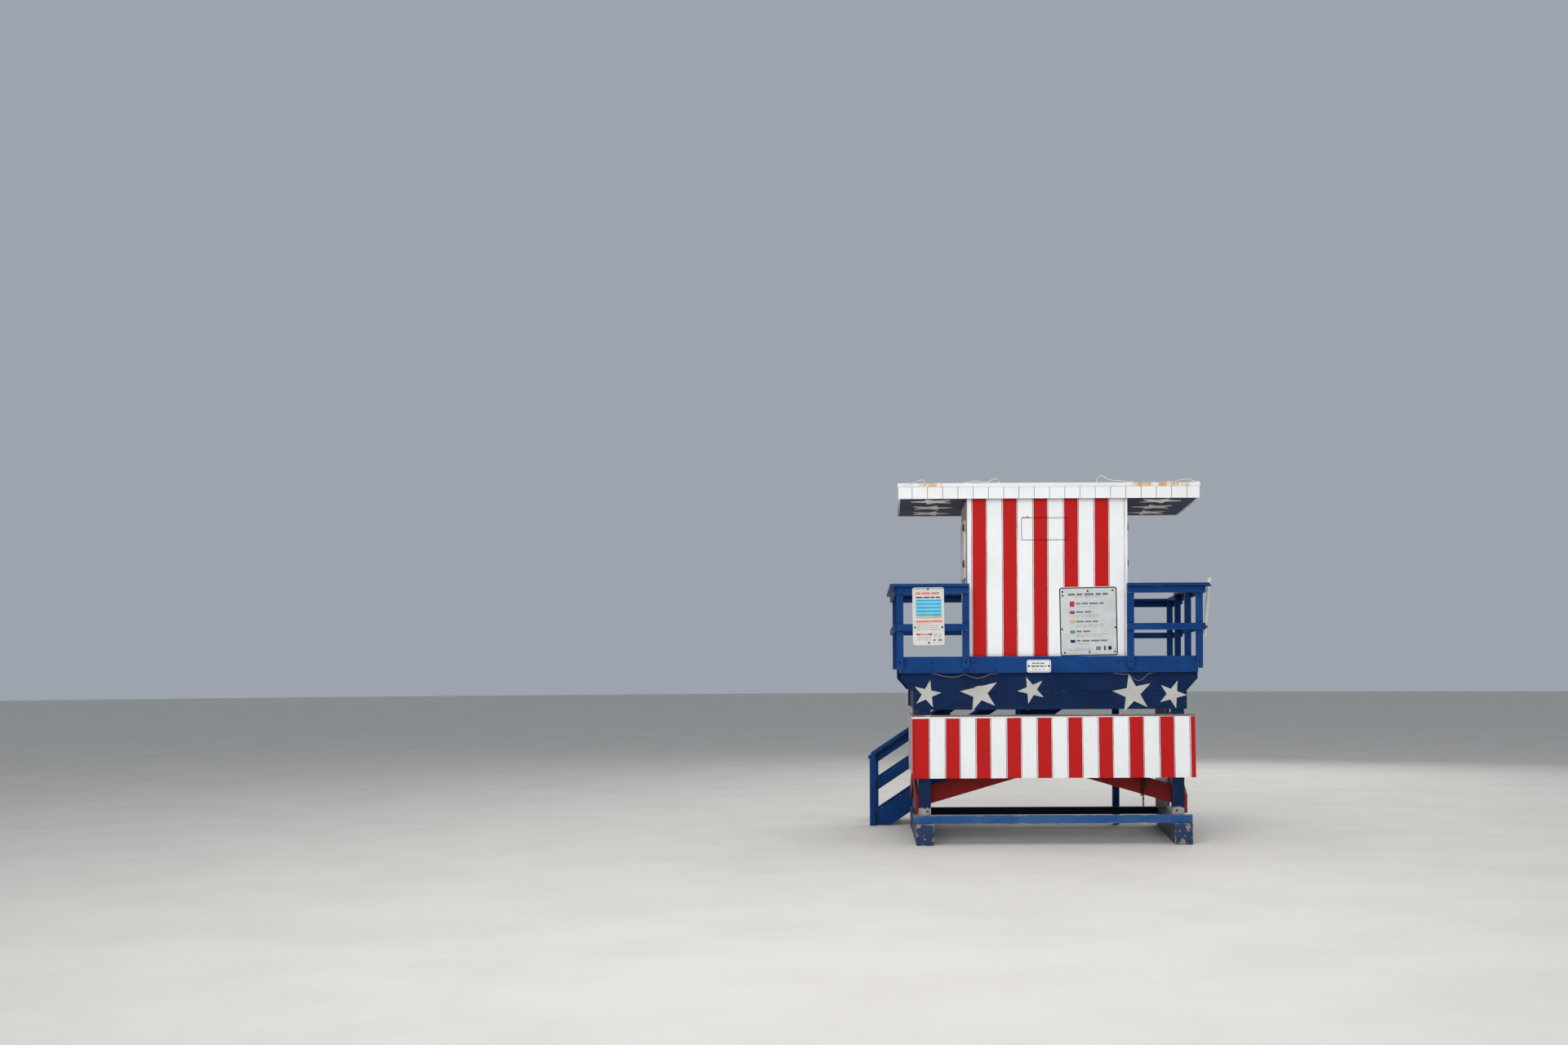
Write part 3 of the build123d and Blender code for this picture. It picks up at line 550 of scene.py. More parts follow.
def markBoards(bm, seed):
    # writes on each board its own directions, measured from its middle, and a tint
    draw = random.Random(seed)
    placeLayer = bm.verts.layers.float_vector.new("boardPlace")
    halfLayer = bm.verts.layers.float_vector.new("boardHalf")
    tintLayer = bm.verts.layers.float.new("boardTint")
    bm.normal_update()
    for verts in list(islands(bm)):
        longest = max(edgesOf(verts), key=lambda edge: (round(edge.calc_length(), 5), edge.index))
        broadest = max(facesOf(verts), key=lambda face: (round(face.calc_area(), 6), face.index))
        length = (longest.verts[1].co - longest.verts[0].co).normalized()
        normal = (broadest.normal - length * broadest.normal.dot(length)).normalized()
        axes = (length, normal.cross(length), normal)
        spans = [[vert.co.dot(axis) for vert in verts] for axis in axes]
        middle = [(max(span) + min(span)) / 2 for span in spans]
        half = Vector([(max(span) - min(span)) / 2 for span in spans])
        tint = draw.random()
        for vert in verts:
            vert[placeLayer] = Vector([vert.co.dot(axis) - mid for axis, mid in zip(axes, middle)])
            vert[halfLayer] = half
            vert[tintLayer] = tint


def timberPiece(name, bm, finish, slot, edge, stands=()):
    if edge:
        roundEdges(bm, edge)
    markBoards(bm, name)
    addPiece(name, bm, [timbers[finish]], slot, stands)


# Framing timber: the boards of each node with rounded arrises
timber = (                      # finish, slot, rounding and nodes
    ("skidPaint", "blue_paint", 0.009, ("left_skid", "right_skid")),
    ("shadedLegPaint", "blue_paint", 0.005, ("front_legs",)),
    ("backLegWood", "bare_timber", 0.005, ("back_legs",)),
    ("navyPaint", "navy_paint", 0.003, ("front_girders", "back_girders", "side_beams")),
    ("shadedBraceRed", "red_paint", 0.003, ("front_braces", "side_braces")),
    ("bluePaint", "blue_paint", 0.003, ("deck_fascias",)),
    ("frameWood", "bare_timber", 0.003, ("floor_joists",)),
    ("navyPaint", "navy_paint", 0.002, ("front_skirt_rail",)),
    ("bluePaint", "blue_paint", 0.004, ("railing_posts",)),
    ("bluePaint", "blue_paint", 0.003, (
        "front_rails", "left_rails", "right_rails", "back_rails", "landing_frame")),
    ("bluePaint", "blue_paint", 0.004, ("landing_supports", "landing_posts")),
    ("bluePaint", "blue_paint", 0.003, ("landing_rails", "stair_stringers")),
    ("bluePaint", "blue_paint", 0.004, ("stair_posts",)),
    ("bluePaint", "blue_paint", 0.003, ("near_stair_rails", "far_stair_rails")),
)
for finish, slot, edge, dressed in timber:
    for node in dressed:
        timberPiece(node + "_boards", copyNode(node), finish, slot, edge, [node])

# The front base beam ends level with the left skid, and the back one is painted near black as painted shade
baseBeams = {"cut": 0.037, "edge": 0.004}
bm = copyNode("base_beams")
cutOff(bm, (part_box("base_beams")[0].x + baseBeams["cut"], 0, 0), (-1, 0, 0))
for face in bm.faces:
    face.material_index = int(face.calc_center_median().y > 0)
roundEdges(bm, baseBeams["edge"])
markBoards(bm, "base_beams")
addPiece("base_beam_boards", bm, [timbers["beamPaint"], timbers["shadedBeam"]], "blue_paint", ["base_beams"])
print("framing timber dressed")

# Floors: boards across the joists, cut to the flare of the deck
floors = {"board": 0.14, "joint": 0.005, "flare": math.radians(2.5), "edge": 0.004}


def floorBoards(name, node, straightLeft):
    low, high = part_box(node)
    count = round((high.y - low.y) / (floors["board"] + floors["joint"]))
    pitch = (high.y - low.y) / count
    bm = bmesh.new()
    for index in range(count):
        start = low.y + index * pitch
        end = start + pitch - floors["joint"] / 2
        box(bm, (low.x, start + floors["joint"] / 2, low.z), (high.x, end, high.z))
    sideways, forwards = math.cos(floors["flare"]), math.sin(floors["flare"])
    cutOff(bm, high, (sideways, -forwards, 0))
    if not straightLeft:
        cutOff(bm, (low.x, high.y, low.z), (-sideways, -forwards, 0))
    timberPiece(name, bm, "treadWood", "deck_boards", floors["edge"], [node])


floorBoards("deck_boards", "deck_floor", False)
floorBoards("landing_boards", "landing_floor", True)

treads = {"going": 0.286, "gap": 0.006, "count": 12, "thick": 0.038, "clear": 0.001, "edge": 0.005}
low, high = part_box("stair_treads")
climb = high.z - low.z - treads["thick"]
bm = bmesh.new()
for index in range(treads["count"]):
    start = low.x + index * treads["going"]
    end = start + treads["going"] - treads["clear"]
    middle = start + treads["going"] / 2
    top = low.z + treads["thick"] + index * climb / (treads["count"] - 1)
    for a, b in ((start, middle - treads["gap"] / 2), (middle + treads["gap"] / 2, end)):
        box(bm, (a, low.y, top - treads["thick"]), (b, high.y, top))
timberPiece("tread_boards", bm, "treadWood", "deck_boards", treads["edge"], ["stair_treads"])
print("floors and treads laid")

# Grooved siding on the hut, the skirts and the roof edge
grooves = {"half": 0.006, "deep": 0.006, "margin": 0.02, "pocket": 0.014}


def sidingSheet(width, depth, height, lines, holes=(), pocket=None):
    # upright sheet: outer face at y 0, from x 0 to the width and z 0 to the height
    bm = bmesh.new()
    box(bm, (0, 0, 0), (width, depth, height))
    for x0, x1, z0, z1 in list(holes) + ([pocket] if pocket else []):
        for x in (x0, x1):
            cutThrough(bm, everything(bm), (x, 0, 0), (1, 0, 0))
        for z in (z0, z1):
            cutThrough(bm, everything(bm), (0, 0, z), (0, 0, 1))

    def within(face, x0, x1, z0, z1):
        middle = face.calc_center_median()
        return abs(face.normal.y) > facing and x0 < middle.x < x1 and z0 < middle.z < z1

    for hole in holes:
        bmesh.ops.delete(bm, geom=[face for face in bm.faces if within(face, *hole)], context="FACES")
        bmesh.ops.bridge_loops(bm, edges=[edge for edge in bm.edges if edge.is_boundary])
    if pocket:
        sunk = [face for face in bm.faces if face.normal.y < -facing and within(face, *pocket)]
        made = extruded(bm, sunk)
        bmesh.ops.delete(bm, geom=sunk, context="FACES_ONLY")
        shift(bm, made, (0, grooves["pocket"], 0))
    for line in lines:
        front = [face for face in bm.faces if face.normal.y < -facing and face.calc_center_median().y < tiny]
        around = set(front)
        for face in front:
            around.update(face.edges)
            around.update(face.verts)
        cutThrough(bm, list(around), (line, 0, 0), (1, 0, 0))

    def onLine(vert):
        return vert.co.y < tiny and any(abs(vert.co.x - line) < tiny for line in lines)

    cuts = [edge for edge in bm.edges if all(onLine(vert) for vert in edge.verts)
            and abs(edge.verts[0].co.x - edge.verts[1].co.x) < tiny and len(edge.link_faces) == 2
            and all(face.normal.y < -facing for face in edge.link_faces)]
    if cuts:
        roundEdges(bm, grooves["half"], edges=cuts, clamp=False)
    sunkLayer = bm.verts.layers.float.new("groove")
    for vert in bm.verts:
        if onLine(vert):
            vert.co.y += grooves["deep"]
            vert[sunkLayer] = 1.0
        # the pocket's floor is marked as well, for painted shade behind the hatch's slit
        elif pocket and abs(vert.co.y - grooves["pocket"]) < tiny:
            vert[sunkLayer] = 1.0
    return bm


def placeSheet(bm, alongAt, upAt, put):
    # keeps the place along and up the wall as the map, then moves every point to the wall
    uv = bm.loops.layers.uv.new("siding")
    bm.normal_update()
    for face in bm.faces:
        face.material_index = int(face.normal.y > facing)
        for loop in face.loops:
            loop[uv].uv = (alongAt + loop.vert.co.x, upAt + loop.vert.co.z)
    putAt(bm, put)
    return bm


def hangSheet(name, bm, alongAt, upAt, put, material, node):
    addPiece(name, placeSheet(bm, alongAt, upAt, put), [material, innerPly], "striped_siding", [node])


def linesFrom(first, pitch, low, high):
    # groove places inside a sheet that starts at low and ends at high
    start = first + pitch * math.ceil((low - first) / pitch)
    places = []
    while start < high - grooves["margin"]:
        if start > low + grooves["margin"]:
            places.append(start - low)
        start += pitch
    return places


hut = {"flare": math.tan(math.radians(1.65)), "wall": 0.1, "pitch": 0.2041, "toStripe": 0.0105,
       "sideGroove": 0.06, "sideMap": 0.07, "seaGroove": 0.0565}
wallLow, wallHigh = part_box("land_wall")
hutMiddle = (wallLow.x + wallHigh.x) / 2
hutFront, hutBack = wallLow.y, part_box("door_header")[1].y
hutHalf = (wallHigh.x - wallLow.x) / 2 - hut["wall"] * hut["flare"]
hutLeft = hutMiddle - hutHalf
hutTall = wallHigh.z - wallLow.z


def hutReach(y):
    return hutHalf + (y - hutFront) * hut["flare"]


# Hut, roof and skirts open towards the sea; reach is how far each goes out from its middle at a given y
def onEnd(middle, reach, foot, start, step):
    # for sheets across the land end (step 1) or the sea end (step -1)
    def put(x, y, z):
        half, along = reach(start), start + step * y
        return middle + step * (x - half) * reach(along) / half, along, foot + z
    return put


def onFlank(middle, reach, foot, side, start, step=1):
    # for sheets along the left side (-1) or the right side (1)
    def put(x, y, z):
        along = start + step * x
        return middle + side * (reach(along) - y), along, foot + z
    return put


onLand = onEnd(hutMiddle, hutReach, wallLow.z, hutFront, 1)
onSea = onEnd(hutMiddle, hutReach, wallLow.z, hutBack, -1)
onRight = onFlank(hutMiddle, hutReach, wallLow.z, 1, hutFront + hut["wall"])
onLeft = onFlank(hutMiddle, hutReach, wallLow.z, -1, hutBack - hut["wall"], -1)

# Land side, with the hatch sunk into it; the panel is cut smaller all round than its CAD solid
hatch = {"joint": 0.004, "slit": 0.005, "thick": 0.0138}
joint, slit = hatch["joint"], hatch["slit"]
lines = linesFrom(wallStripes["start"] - hut["toStripe"], hut["pitch"], hutLeft, hutLeft + 2 * hutHalf)
pocket = (hatchLow.x - joint - hutLeft, hatchHigh.x + joint - hutLeft,
          hatchLow.z - joint - wallLow.z, hatchHigh.z + joint - wallLow.z)
hangSheet("land_siding", sidingSheet(2 * hutHalf, hut["wall"], hutTall, lines, pocket=pocket),
          hutLeft, wallLow.z, onLand, landSiding, "land_wall")
hatchLeft, hatchRight, hatchFoot = hatchLow.x + slit, hatchHigh.x - slit, hatchLow.z + slit
hatchLines = [line + hutLeft - hatchLeft for line in lines
              if hatchLeft + grooves["margin"] < line + hutLeft < hatchRight - grooves["margin"]]
hatchTall = hatchHigh.z - hatchLow.z - 2 * slit
hangSheet("hatch_panel", sidingSheet(hatchRight - hatchLeft, hatch["thick"], hatchTall, hatchLines),
          hatchLeft, hatchFoot, lambda x, y, z: (hatchLeft + x, hutFront + y, hatchFoot + z), landSiding,
          "vent_hatch")

# Sides, with a window opening behind each shutter
windowLap = 0.04                # a shutter covers its window by this much all round
shutterLow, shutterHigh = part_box("side_shutters")
sideLong = hutBack - hutFront - 2 * hut["wall"]
near = shutterLow.y + windowLap - hutFront - hut["wall"]
far = shutterHigh.y - windowLap - hutFront - hut["wall"]
foot, head = shutterLow.z + windowLap - wallLow.z, shutterHigh.z - windowLap - wallLow.z
sideLines = linesFrom(hut["sideGroove"], hut["pitch"], 0, sideLong)
mapAt = wallStripes["start"] - hut["sideMap"]
for side, start, end, put in (("right", near, far, onRight),
                              ("left", sideLong - far, sideLong - near, onLeft)):
    sheet = sidingSheet(sideLong, hut["wall"], hutTall, sideLines, [(start, end, foot, head)])
    hangSheet(side + "_siding", sheet, mapAt, wallLow.z, put, wallSiding, side + "_wall")

# Sea side: a doorway between two sheets, and a lookout window in the wider one
lookout = {"left": -0.80026, "wide": 0.85, "tall": 0.9, "sill": 1.0}
doorLow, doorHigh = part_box("door_header")
seaWide = hutReach(hutBack)
seaRight = hutMiddle + seaWide
doorStart, doorEnd, doorTall = seaRight - doorHigh.x, seaRight - doorLow.x, doorLow.z - wallLow.z
windowStart = seaRight - (lookout["left"] + lookout["wide"])
windowEnd, windowTop = windowStart + lookout["wide"], lookout["sill"] + lookout["tall"]
seaLines = linesFrom(hut["seaGroove"], hut["pitch"], 0, 2 * seaWide)


def seaSheet(name, start, end, foot, node, holes=()):
    cut = [line - start for line in seaLines if start + grooves["margin"] < line < end - grooves["margin"]]
    sheet = sidingSheet(end - start, hut["wall"], hutTall - foot, cut, holes)
    mapAt = wallStripes["start"] - hut["seaGroove"] - hut["toStripe"] + start
    hangSheet(name, sheet, mapAt, wallLow.z + foot, lambda x, y, z: onSea(x + start, y, z + foot),
              wallSiding, node)


seaSheet("sea_siding_end", 0, doorStart, 0, "sea_wall_end")
seaSheet("door_head", doorStart, doorEnd, doorTall, "door_header")
seaSheet("sea_siding", doorEnd, 2 * seaWide, 0, "sea_wall",
         [(windowStart - doorEnd, windowEnd - doorEnd, lookout["sill"], windowTop)])
print("hut clad")

# Skirts between the legs; the front one leans out at its foot
skirt = {"thick": 0.02, "pitch": 0.20435, "sidePitch": 0.2043, "sideGroove": 0.09, "sideMap": 0.01}
thick = skirt["thick"]
skirtLow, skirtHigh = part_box("front_skirt")
skirtTall = skirtHigh.z - skirtLow.z
rake = (skirtHigh.y - skirtLow.y - thick) / skirtTall
skirtLines = linesFrom(skirtStripes["start"] - hut["toStripe"], skirt["pitch"], skirtLow.x, skirtHigh.x)
hangSheet("front_skirt_panel", sidingSheet(skirtHigh.x - skirtLow.x, thick, skirtTall, skirtLines),
          skirtLow.x, skirtLow.z,
          lambda x, y, z: (skirtLow.x + x, skirtHigh.y - thick - (skirtTall - z) * rake + y, skirtLow.z + z),
          skirtSiding, "front_skirt")

sideLow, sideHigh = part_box("side_skirts")
skirtLong = sideHigh.y - sideLow.y
skirtMiddle = (sideHigh.x + sideLow.x) / 2


def skirtReach(y):
    return (sideHigh.x - sideLow.x) / 2 - (sideHigh.y - y) * math.tan(floors["flare"])


sideLines = linesFrom(skirt["sideGroove"], skirt["sidePitch"], 0, skirtLong)
mapStart = skirtStripes["start"] + skirtStripes["stripe"] + skirt["sideMap"]
skirtParts = bmesh.new()
for side, stripes in ((-1, 10), (1, 18)):       # each side starts this many stripes along the map
    sheet = sidingSheet(skirtLong, thick, sideHigh.z - sideLow.z, sideLines)
    gather(skirtParts, placeSheet(sheet, mapStart + stripes * skirtStripes["pitch"], sideLow.z,
                                  onFlank(skirtMiddle, skirtReach, sideLow.z, side, sideLow.y)))
addPiece("side_skirt_panels", skirtParts, [skirtSiding, innerPly], "striped_siding", ["side_skirts"])

# White strip along the top of the front skirt, under a thin batten whose dark brown is partly painted shade
# above the skirt
skirtStrip = {"thick": 0.027, "past": 0.006, "top": 0.005, "leftFoot": -0.019, "rightFoot": 0.002,
              "edge": 0.0015, "clear": 0.001}
skirtBatten = {"thick": 0.021, "short": 0.004, "top": 0.03, "edge": 0.002}
back, top = skirtHigh.y - skirtStrip["clear"], skirtHigh.z + skirtStrip["top"]
bm = bmesh.new()
box(bm, (skirtLow.x - skirtStrip["past"], skirtHigh.y - skirtStrip["thick"], skirtHigh.z),
    (skirtHigh.x, back, top))
for vert in bm.verts:
    if vert.co.z < skirtHigh.z + tiny:
        vert.co.z += skirtStrip["leftFoot" if vert.co.x < 0 else "rightFoot"]
timberPiece("skirt_top_strip", bm, "whitePaint", "white_paint", skirtStrip["edge"])
bm = bmesh.new()
box(bm, (skirtLow.x, skirtHigh.y - skirtBatten["thick"], top),
    (skirtHigh.x - skirtBatten["short"], back, skirtHigh.z + skirtBatten["top"]))
timberPiece("skirt_top_batten", bm, "shadedBattenWood", "bare_timber", skirtBatten["edge"])
print("skirts hung")

# Roof edge: grooved strips on four sides; each takes its own part of the map
roof = {"strip": 0.026, "pitch": 0.2032, "frontGroove": -1.9041, "backGroove": 0.11, "sideGroove": 0.08,
        "clear": 0.001, "frontMap": 20, "backMap": 30, "leftMap": 36, "rightMap": 44}
roofLow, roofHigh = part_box("roof_fascias")
roofMiddle = (roofLow.x + roofHigh.x) / 2
roofBackHalf = (roofHigh.x - roofLow.x) / 2
roofEdge = bmesh.new()


def roofReach(y):
    return roofBackHalf - (roofHigh.y - y) * hut["flare"]


def edgeStrip(mapAt, long, firstGroove, start, put):
    lines = linesFrom(firstGroove, roof["pitch"], start, start + long)
    sheet = sidingSheet(long, roof["strip"], roofHigh.z - roofLow.z, lines)
    gather(roofEdge, placeSheet(sheet, mapAt, 0, put))


frontHalf = roofReach(roofLow.y)
sideStart = roofLow.y + roof["strip"] + roof["clear"]
sideLong = roofHigh.y - roof["strip"] - roof["clear"] - sideStart
placed = (roofMiddle, roofReach, roofLow.z)
edgeStrip(roof["frontMap"], 2 * frontHalf, roof["frontGroove"], roofMiddle - frontHalf,
          onEnd(*placed, roofLow.y, 1))
edgeStrip(roof["backMap"], 2 * roofBackHalf, roof["backGroove"], 0, onEnd(*placed, roofHigh.y, -1))
for side, mapAt in ((-1, roof["leftMap"]), (1, roof["rightMap"])):
    edgeStrip(mapAt, sideLong, roof["sideGroove"], 0, onFlank(*placed, side, sideStart))
addPiece("roof_edge_strips", roofEdge, [edgeSiding, innerPly], "white_paint", ["roof_fascias"])

# Roof sheet with a sunk field, laps and a rusty drip edge
sheetPaint = plainFinish("sheetPaint", (0.82, 0.82, 0.81), (0.76, 0.75, 0.73),
                         (0.52, 0.44, 0.34), scale=1.3, grainDepth=0.002)
rust = {"colour": (0.62, 0.36, 0.14), "spans": ((-1.59, -1.28), (1.24, 1.98)), "soft": 0.06, "edge": -2.02,
        "deep": 0.25}
spot = objectSpot(sheetPaint.node_tree)
across, along = split(spot)[:2]
patch = noise(spot, 9, detail=7, roughness=0.7, stretch=(1, 1, 0.4))
soft = rust["soft"]
inSpan = greatest(*(band(across, first - soft, last - soft, 2 * soft) for first, last in rust["spans"]))
rusty = times(inSpan, fall(along, rust["edge"], rust["edge"] + rust["deep"]), rise(patch, 0.4, 0.62))
sheetColour = sheetPaint.node_tree.nodes["Principled BSDF"].inputs["Base Color"]
rustyColour = mixed(rusty, sheetColour.links[0].from_socket, rust["colour"])
sheetPaint.node_tree.links.new(rustyColour, sheetColour)

roofSheet = {"edge": 0.004, "rim": 0.07, "slope": 0.006, "sink": 0.007, "lapWide": 0.045, "lapRise": 0.004,
             "lapPitch": 0.86, "lapClear": 0.02, "firstLap": 0.55, "lastLap": 0.4}
bm = copyNode("roof_top")
roundEdges(bm, roofSheet["edge"])
inset(bm, largest(bm, upwards), roofSheet["rim"])
inset(bm, largest(bm, upwards), roofSheet["slope"], -roofSheet["sink"])
lapFront = sheetLow.y + roofSheet["rim"] + roofSheet["lapClear"]
lapBack = sheetHigh.y - roofSheet["rim"] - roofSheet["lapClear"]
field = sheetHigh.z - roofSheet["sink"]
lapLeft = sheetLow.x + roofSheet["firstLap"]
while lapLeft < sheetHigh.x - roofSheet["lastLap"]:
    box(bm, (lapLeft, lapFront, field - roofSheet["slope"]),
        (lapLeft + roofSheet["lapWide"], lapBack, field + roofSheet["lapRise"]))
    lapLeft += roofSheet["lapPitch"]
addPiece("roof_sheet", bm, [sheetPaint], "roof_sheet", ["roof_top"])

# Navy soffit with cream stars
dress("roof_soffit", plainFinish("soffitPaint", (0.016, 0.028, 0.075), (0.024, 0.038, 0.09),
                                 (0.11, 0.105, 0.1), scale=1.6, grainDepth=0.001))
# the soffit stars are paler than the girder stars: painted light on the shaded underside of the roof
litSoffitStarPaint = plainFinish("litSoffitStarPaint", (0.92, 0.88, 0.8), (0.84, 0.79, 0.7),
                              (0.5, 0.42, 0.33), scale=5, keep=0.7, grainDepth=0.0015)
starEdge = 0.0015
bm = copyNode("soffit_stars")
roundEdges(bm, starEdge, 1)
addPiece("soffit_star_boards", bm, [litSoffitStarPaint], "cream_paint", ["soffit_stars"])

# Cut-out stars on the girder: middle across and up, radius and turn; the second has lost its top arm
starCuts = ((-1.632, 2.017, 0.192, -12.8), (-0.928, 2.031, 0.267, 13.3), (-0.238, 2.065, 0.19, 22.6),
            (1.11, 2.014, 0.272, 11.0), (1.64, 2.0, 0.196, -21.3))
brokenStar = {"index": 1, "aside": 0.02, "left": 0.36}
starInner = math.cos(math.radians(72)) / math.cos(math.radians(36))
starPaint = plainFinish("starPaint", (0.51, 0.5, 0.475), (0.45, 0.43, 0.395),
                        (0.28, 0.24, 0.2), scale=5, keep=0.68, grainDepth=0.0015)
starLow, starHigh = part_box("girder_stars")
bm = bmesh.new()
for index, (x, z, radius, degrees) in enumerate(starCuts):
    rim = bmesh.ops.create_circle(bm, cap_ends=True, segments=10, radius=radius)["verts"]
    for vert in rim:
        step = round((math.atan2(vert.co.y, vert.co.x) - math.pi / 2) / (math.pi / 5))
        if step % 2:
            vert.co *= starInner
        elif index == brokenStar["index"] and step == 0:
            vert.co = Vector((vert.co.x - brokenStar["aside"], vert.co.y * brokenStar["left"], 0))
    lifted = extruded(bm, facesOf(rim))
    shift(bm, lifted, (0, 0, starHigh.y - starLow.y))
    turn(bm, rim + lifted, degrees, "Z")
    turn(bm, rim + lifted, 90, "X")
    shift(bm, rim + lifted, (shiftX + x, starHigh.y, z))
bmesh.ops.recalc_face_normals(bm, faces=bm.faces)
roundEdges(bm, starEdge, 1)
addPiece("girder_star_boards", bm, [starPaint], "cream_paint", ["girder_stars"])
print("roof and stars made")

# Shutters over the side windows, with battens and strap hinges on their land side
shutter = {"thick": 0.024, "batten": 0.07, "rise": 0.009, "let": 0.002, "clear": 0.001, "edge": 0.003}
hinge = {"heights": (4.27, 3.78), "start": -0.06, "end": 0.24, "tall": 0.045, "back": 0.0005, "front": 0.005,
         "pinRadius": 0.009, "pinTall": 0.098, "pinAt": -0.012, "pinOut": 0.004, "edge": 0.0015}
shutterLong, shutterTall = shutterHigh.y - shutterLow.y, shutterHigh.z - shutterLow.z
wide, clear = shutter["batten"], shutter["clear"]
outer, inner = -shutter["thick"] - shutter["rise"], -shutter["thick"] + shutter["let"]
battens = ((0, wide, 0, shutterTall), (shutterLong - wide, shutterLong, 0, shutterTall),
           (wide + clear, shutterLong - wide - clear, 0, wide),
           (wide + clear, shutterLong - wide - clear, shutterTall - wide, shutterTall))
boards, straps = bmesh.new(), bmesh.new()
for side in (-1, 1):
    onShutter = onFlank(hutMiddle, hutReach, shutterLow.z, side, shutterLow.y)
    part = bmesh.new()
    box(part, (0, -shutter["thick"], 0), (shutterLong, 0, shutterTall))
    for x0, x1, z0, z1 in battens:
        box(part, (x0, outer, z0), (x1, inner, z1))
    roundEdges(part, shutter["edge"])
    putAt(part, onShutter)
    gather(boards, part)
    part = bmesh.new()
    for height in hinge["heights"]:
        z = height - shutterLow.z
        box(part, (hinge["start"], outer - hinge["front"], z - hinge["tall"] / 2),
            (hinge["end"], outer - hinge["back"], z + hinge["tall"] / 2))
        pin = cone(part, 12, hinge["pinRadius"], hinge["pinRadius"], hinge["pinTall"])
        shift(part, pin, (hinge["pinAt"], outer - hinge["pinOut"], z))
    roundEdges(part, hinge["edge"], 1)
    putAt(part, onShutter)
    gather(straps, part)
timberPiece("shutter_boards", boards, "whitePaint", "white_paint", 0, ["side_shutters"])
darkSteel = plainFinish("darkSteel", (0.05, 0.035, 0.03), (0.1, 0.05, 0.03),
                        (0.22, 0.09, 0.04), scale=14, keep=0.6, grainDepth=0.0008, metal=0.6)
addPiece("shutter_hinges", straps, [darkSteel], "black_plastic")

# Plain trim round the doorway and the lookout window, and a sill under the window
trim = {"wide": 0.085, "rise": 0.014, "sunk": 0.004, "clear": 0.001, "top": 0.002, "edge": 0.002,
        "sillPast": 0.02, "sillRise": 0.045, "sillTall": 0.03, "sillBack": 0.0145}
part = bmesh.new()


def trimBoard(x0, x1, z0, z1):
    box(part, (x0, -trim["rise"], z0), (x1, trim["sunk"], min(z1, hutTall - trim["top"])))


wide, clear, past = trim["wide"], trim["clear"], trim["wide"] + trim["sillPast"]
for x0, x1, z0, z1, foot in ((doorStart, doorEnd, 0.0, doorTall, 0.0),
                             (windowStart, windowEnd, lookout["sill"], windowTop, lookout["sill"] - wide)):
    trimBoard(x0 - wide, x0, foot, z1 + wide)
    trimBoard(x1, x1 + wide, foot, z1 + wide)
    trimBoard(x0 + clear, x1 - clear, z1, z1 + wide)
    if foot:
        box(part, (x0 - past, -trim["sillRise"], z0 - trim["sillTall"]), (x1 + past, -trim["sillBack"], z0))
        trimBoard(x0 + clear, x1 - clear, foot, z0)
roundEdges(part, trim["edge"])
putAt(part, onSea)
timberPiece("opening_trim", part, "bluePaint", "blue_paint", 0)
print("shutters and trim fitted")

# Bolt heads at the feet of the posts and front legs, and in pairs along the front fascia
bolt = {"radius": 0.014, "rise": 0.008, "taper": 0.6, "proud": 0.45, "above": 0.088, "fasciaRadius": 0.01,
        "fascia": (-1.556, -0.996, -0.722, 0.918, 1.714), "fasciaHeights": (2.432, 2.327),
        "legs": (-1.64, 1.702), "legHeight": 0.447}
darkIron = plainFinish("darkIron", (0.012, 0.01, 0.01), (0.03, 0.018, 0.012),
                       (0.12, 0.06, 0.03), scale=20, gloss=0.55, grainDepth=0.0006, metal=0.3)
heads = bmesh.new()


def addHead(x, y, z, facing, radius=bolt["radius"]):
    made = cone(heads, 14, radius, radius * bolt["taper"], bolt["rise"])
    bmesh.ops.rotate(heads, cent=(0, 0, 0), matrix=facing.to_track_quat("Z", "Y").to_matrix(), verts=made)
    shift(heads, made, Vector((x, y, z)) + facing * bolt["rise"] * bolt["proud"])


def farthest(verts, pick):
    return Vector([pick(vert.co[axis] for vert in verts) for axis in range(3)])


for across in bolt["fascia"]:
    for height in bolt["fasciaHeights"]:
        addHead(shiftX + across, fasciaLow.y, height, toLand, bolt["fasciaRadius"])
for across in bolt["legs"]:
    addHead(shiftX + across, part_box("front_legs")[0].y, bolt["legHeight"], toLand)
deckLow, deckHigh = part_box("deck_floor")
for node in ("railing_posts", "landing_posts"):
    bm = copyNode(node)
    for verts in list(islands(bm)):
        low, high = farthest(verts, min), farthest(verts, max)
        middle = (low + high) / 2
        height = low.z + bolt["above"]
        if high.y < deckLow.y:
            addHead(middle.x, low.y, height, toLand)
        elif low.y > deckHigh.y:
            addHead(middle.x, high.y, height, -toLand)
        elif middle.x > (deckLow.x + deckHigh.x) / 2:
            addHead(high.x, middle.y, height, Vector((1, 0, 0)))
        else:
            addHead(low.x, middle.y, height, Vector((-1, 0, 0)))
    bm.free()
addPiece("bolt_heads", heads, [darkIron], "black_plastic")

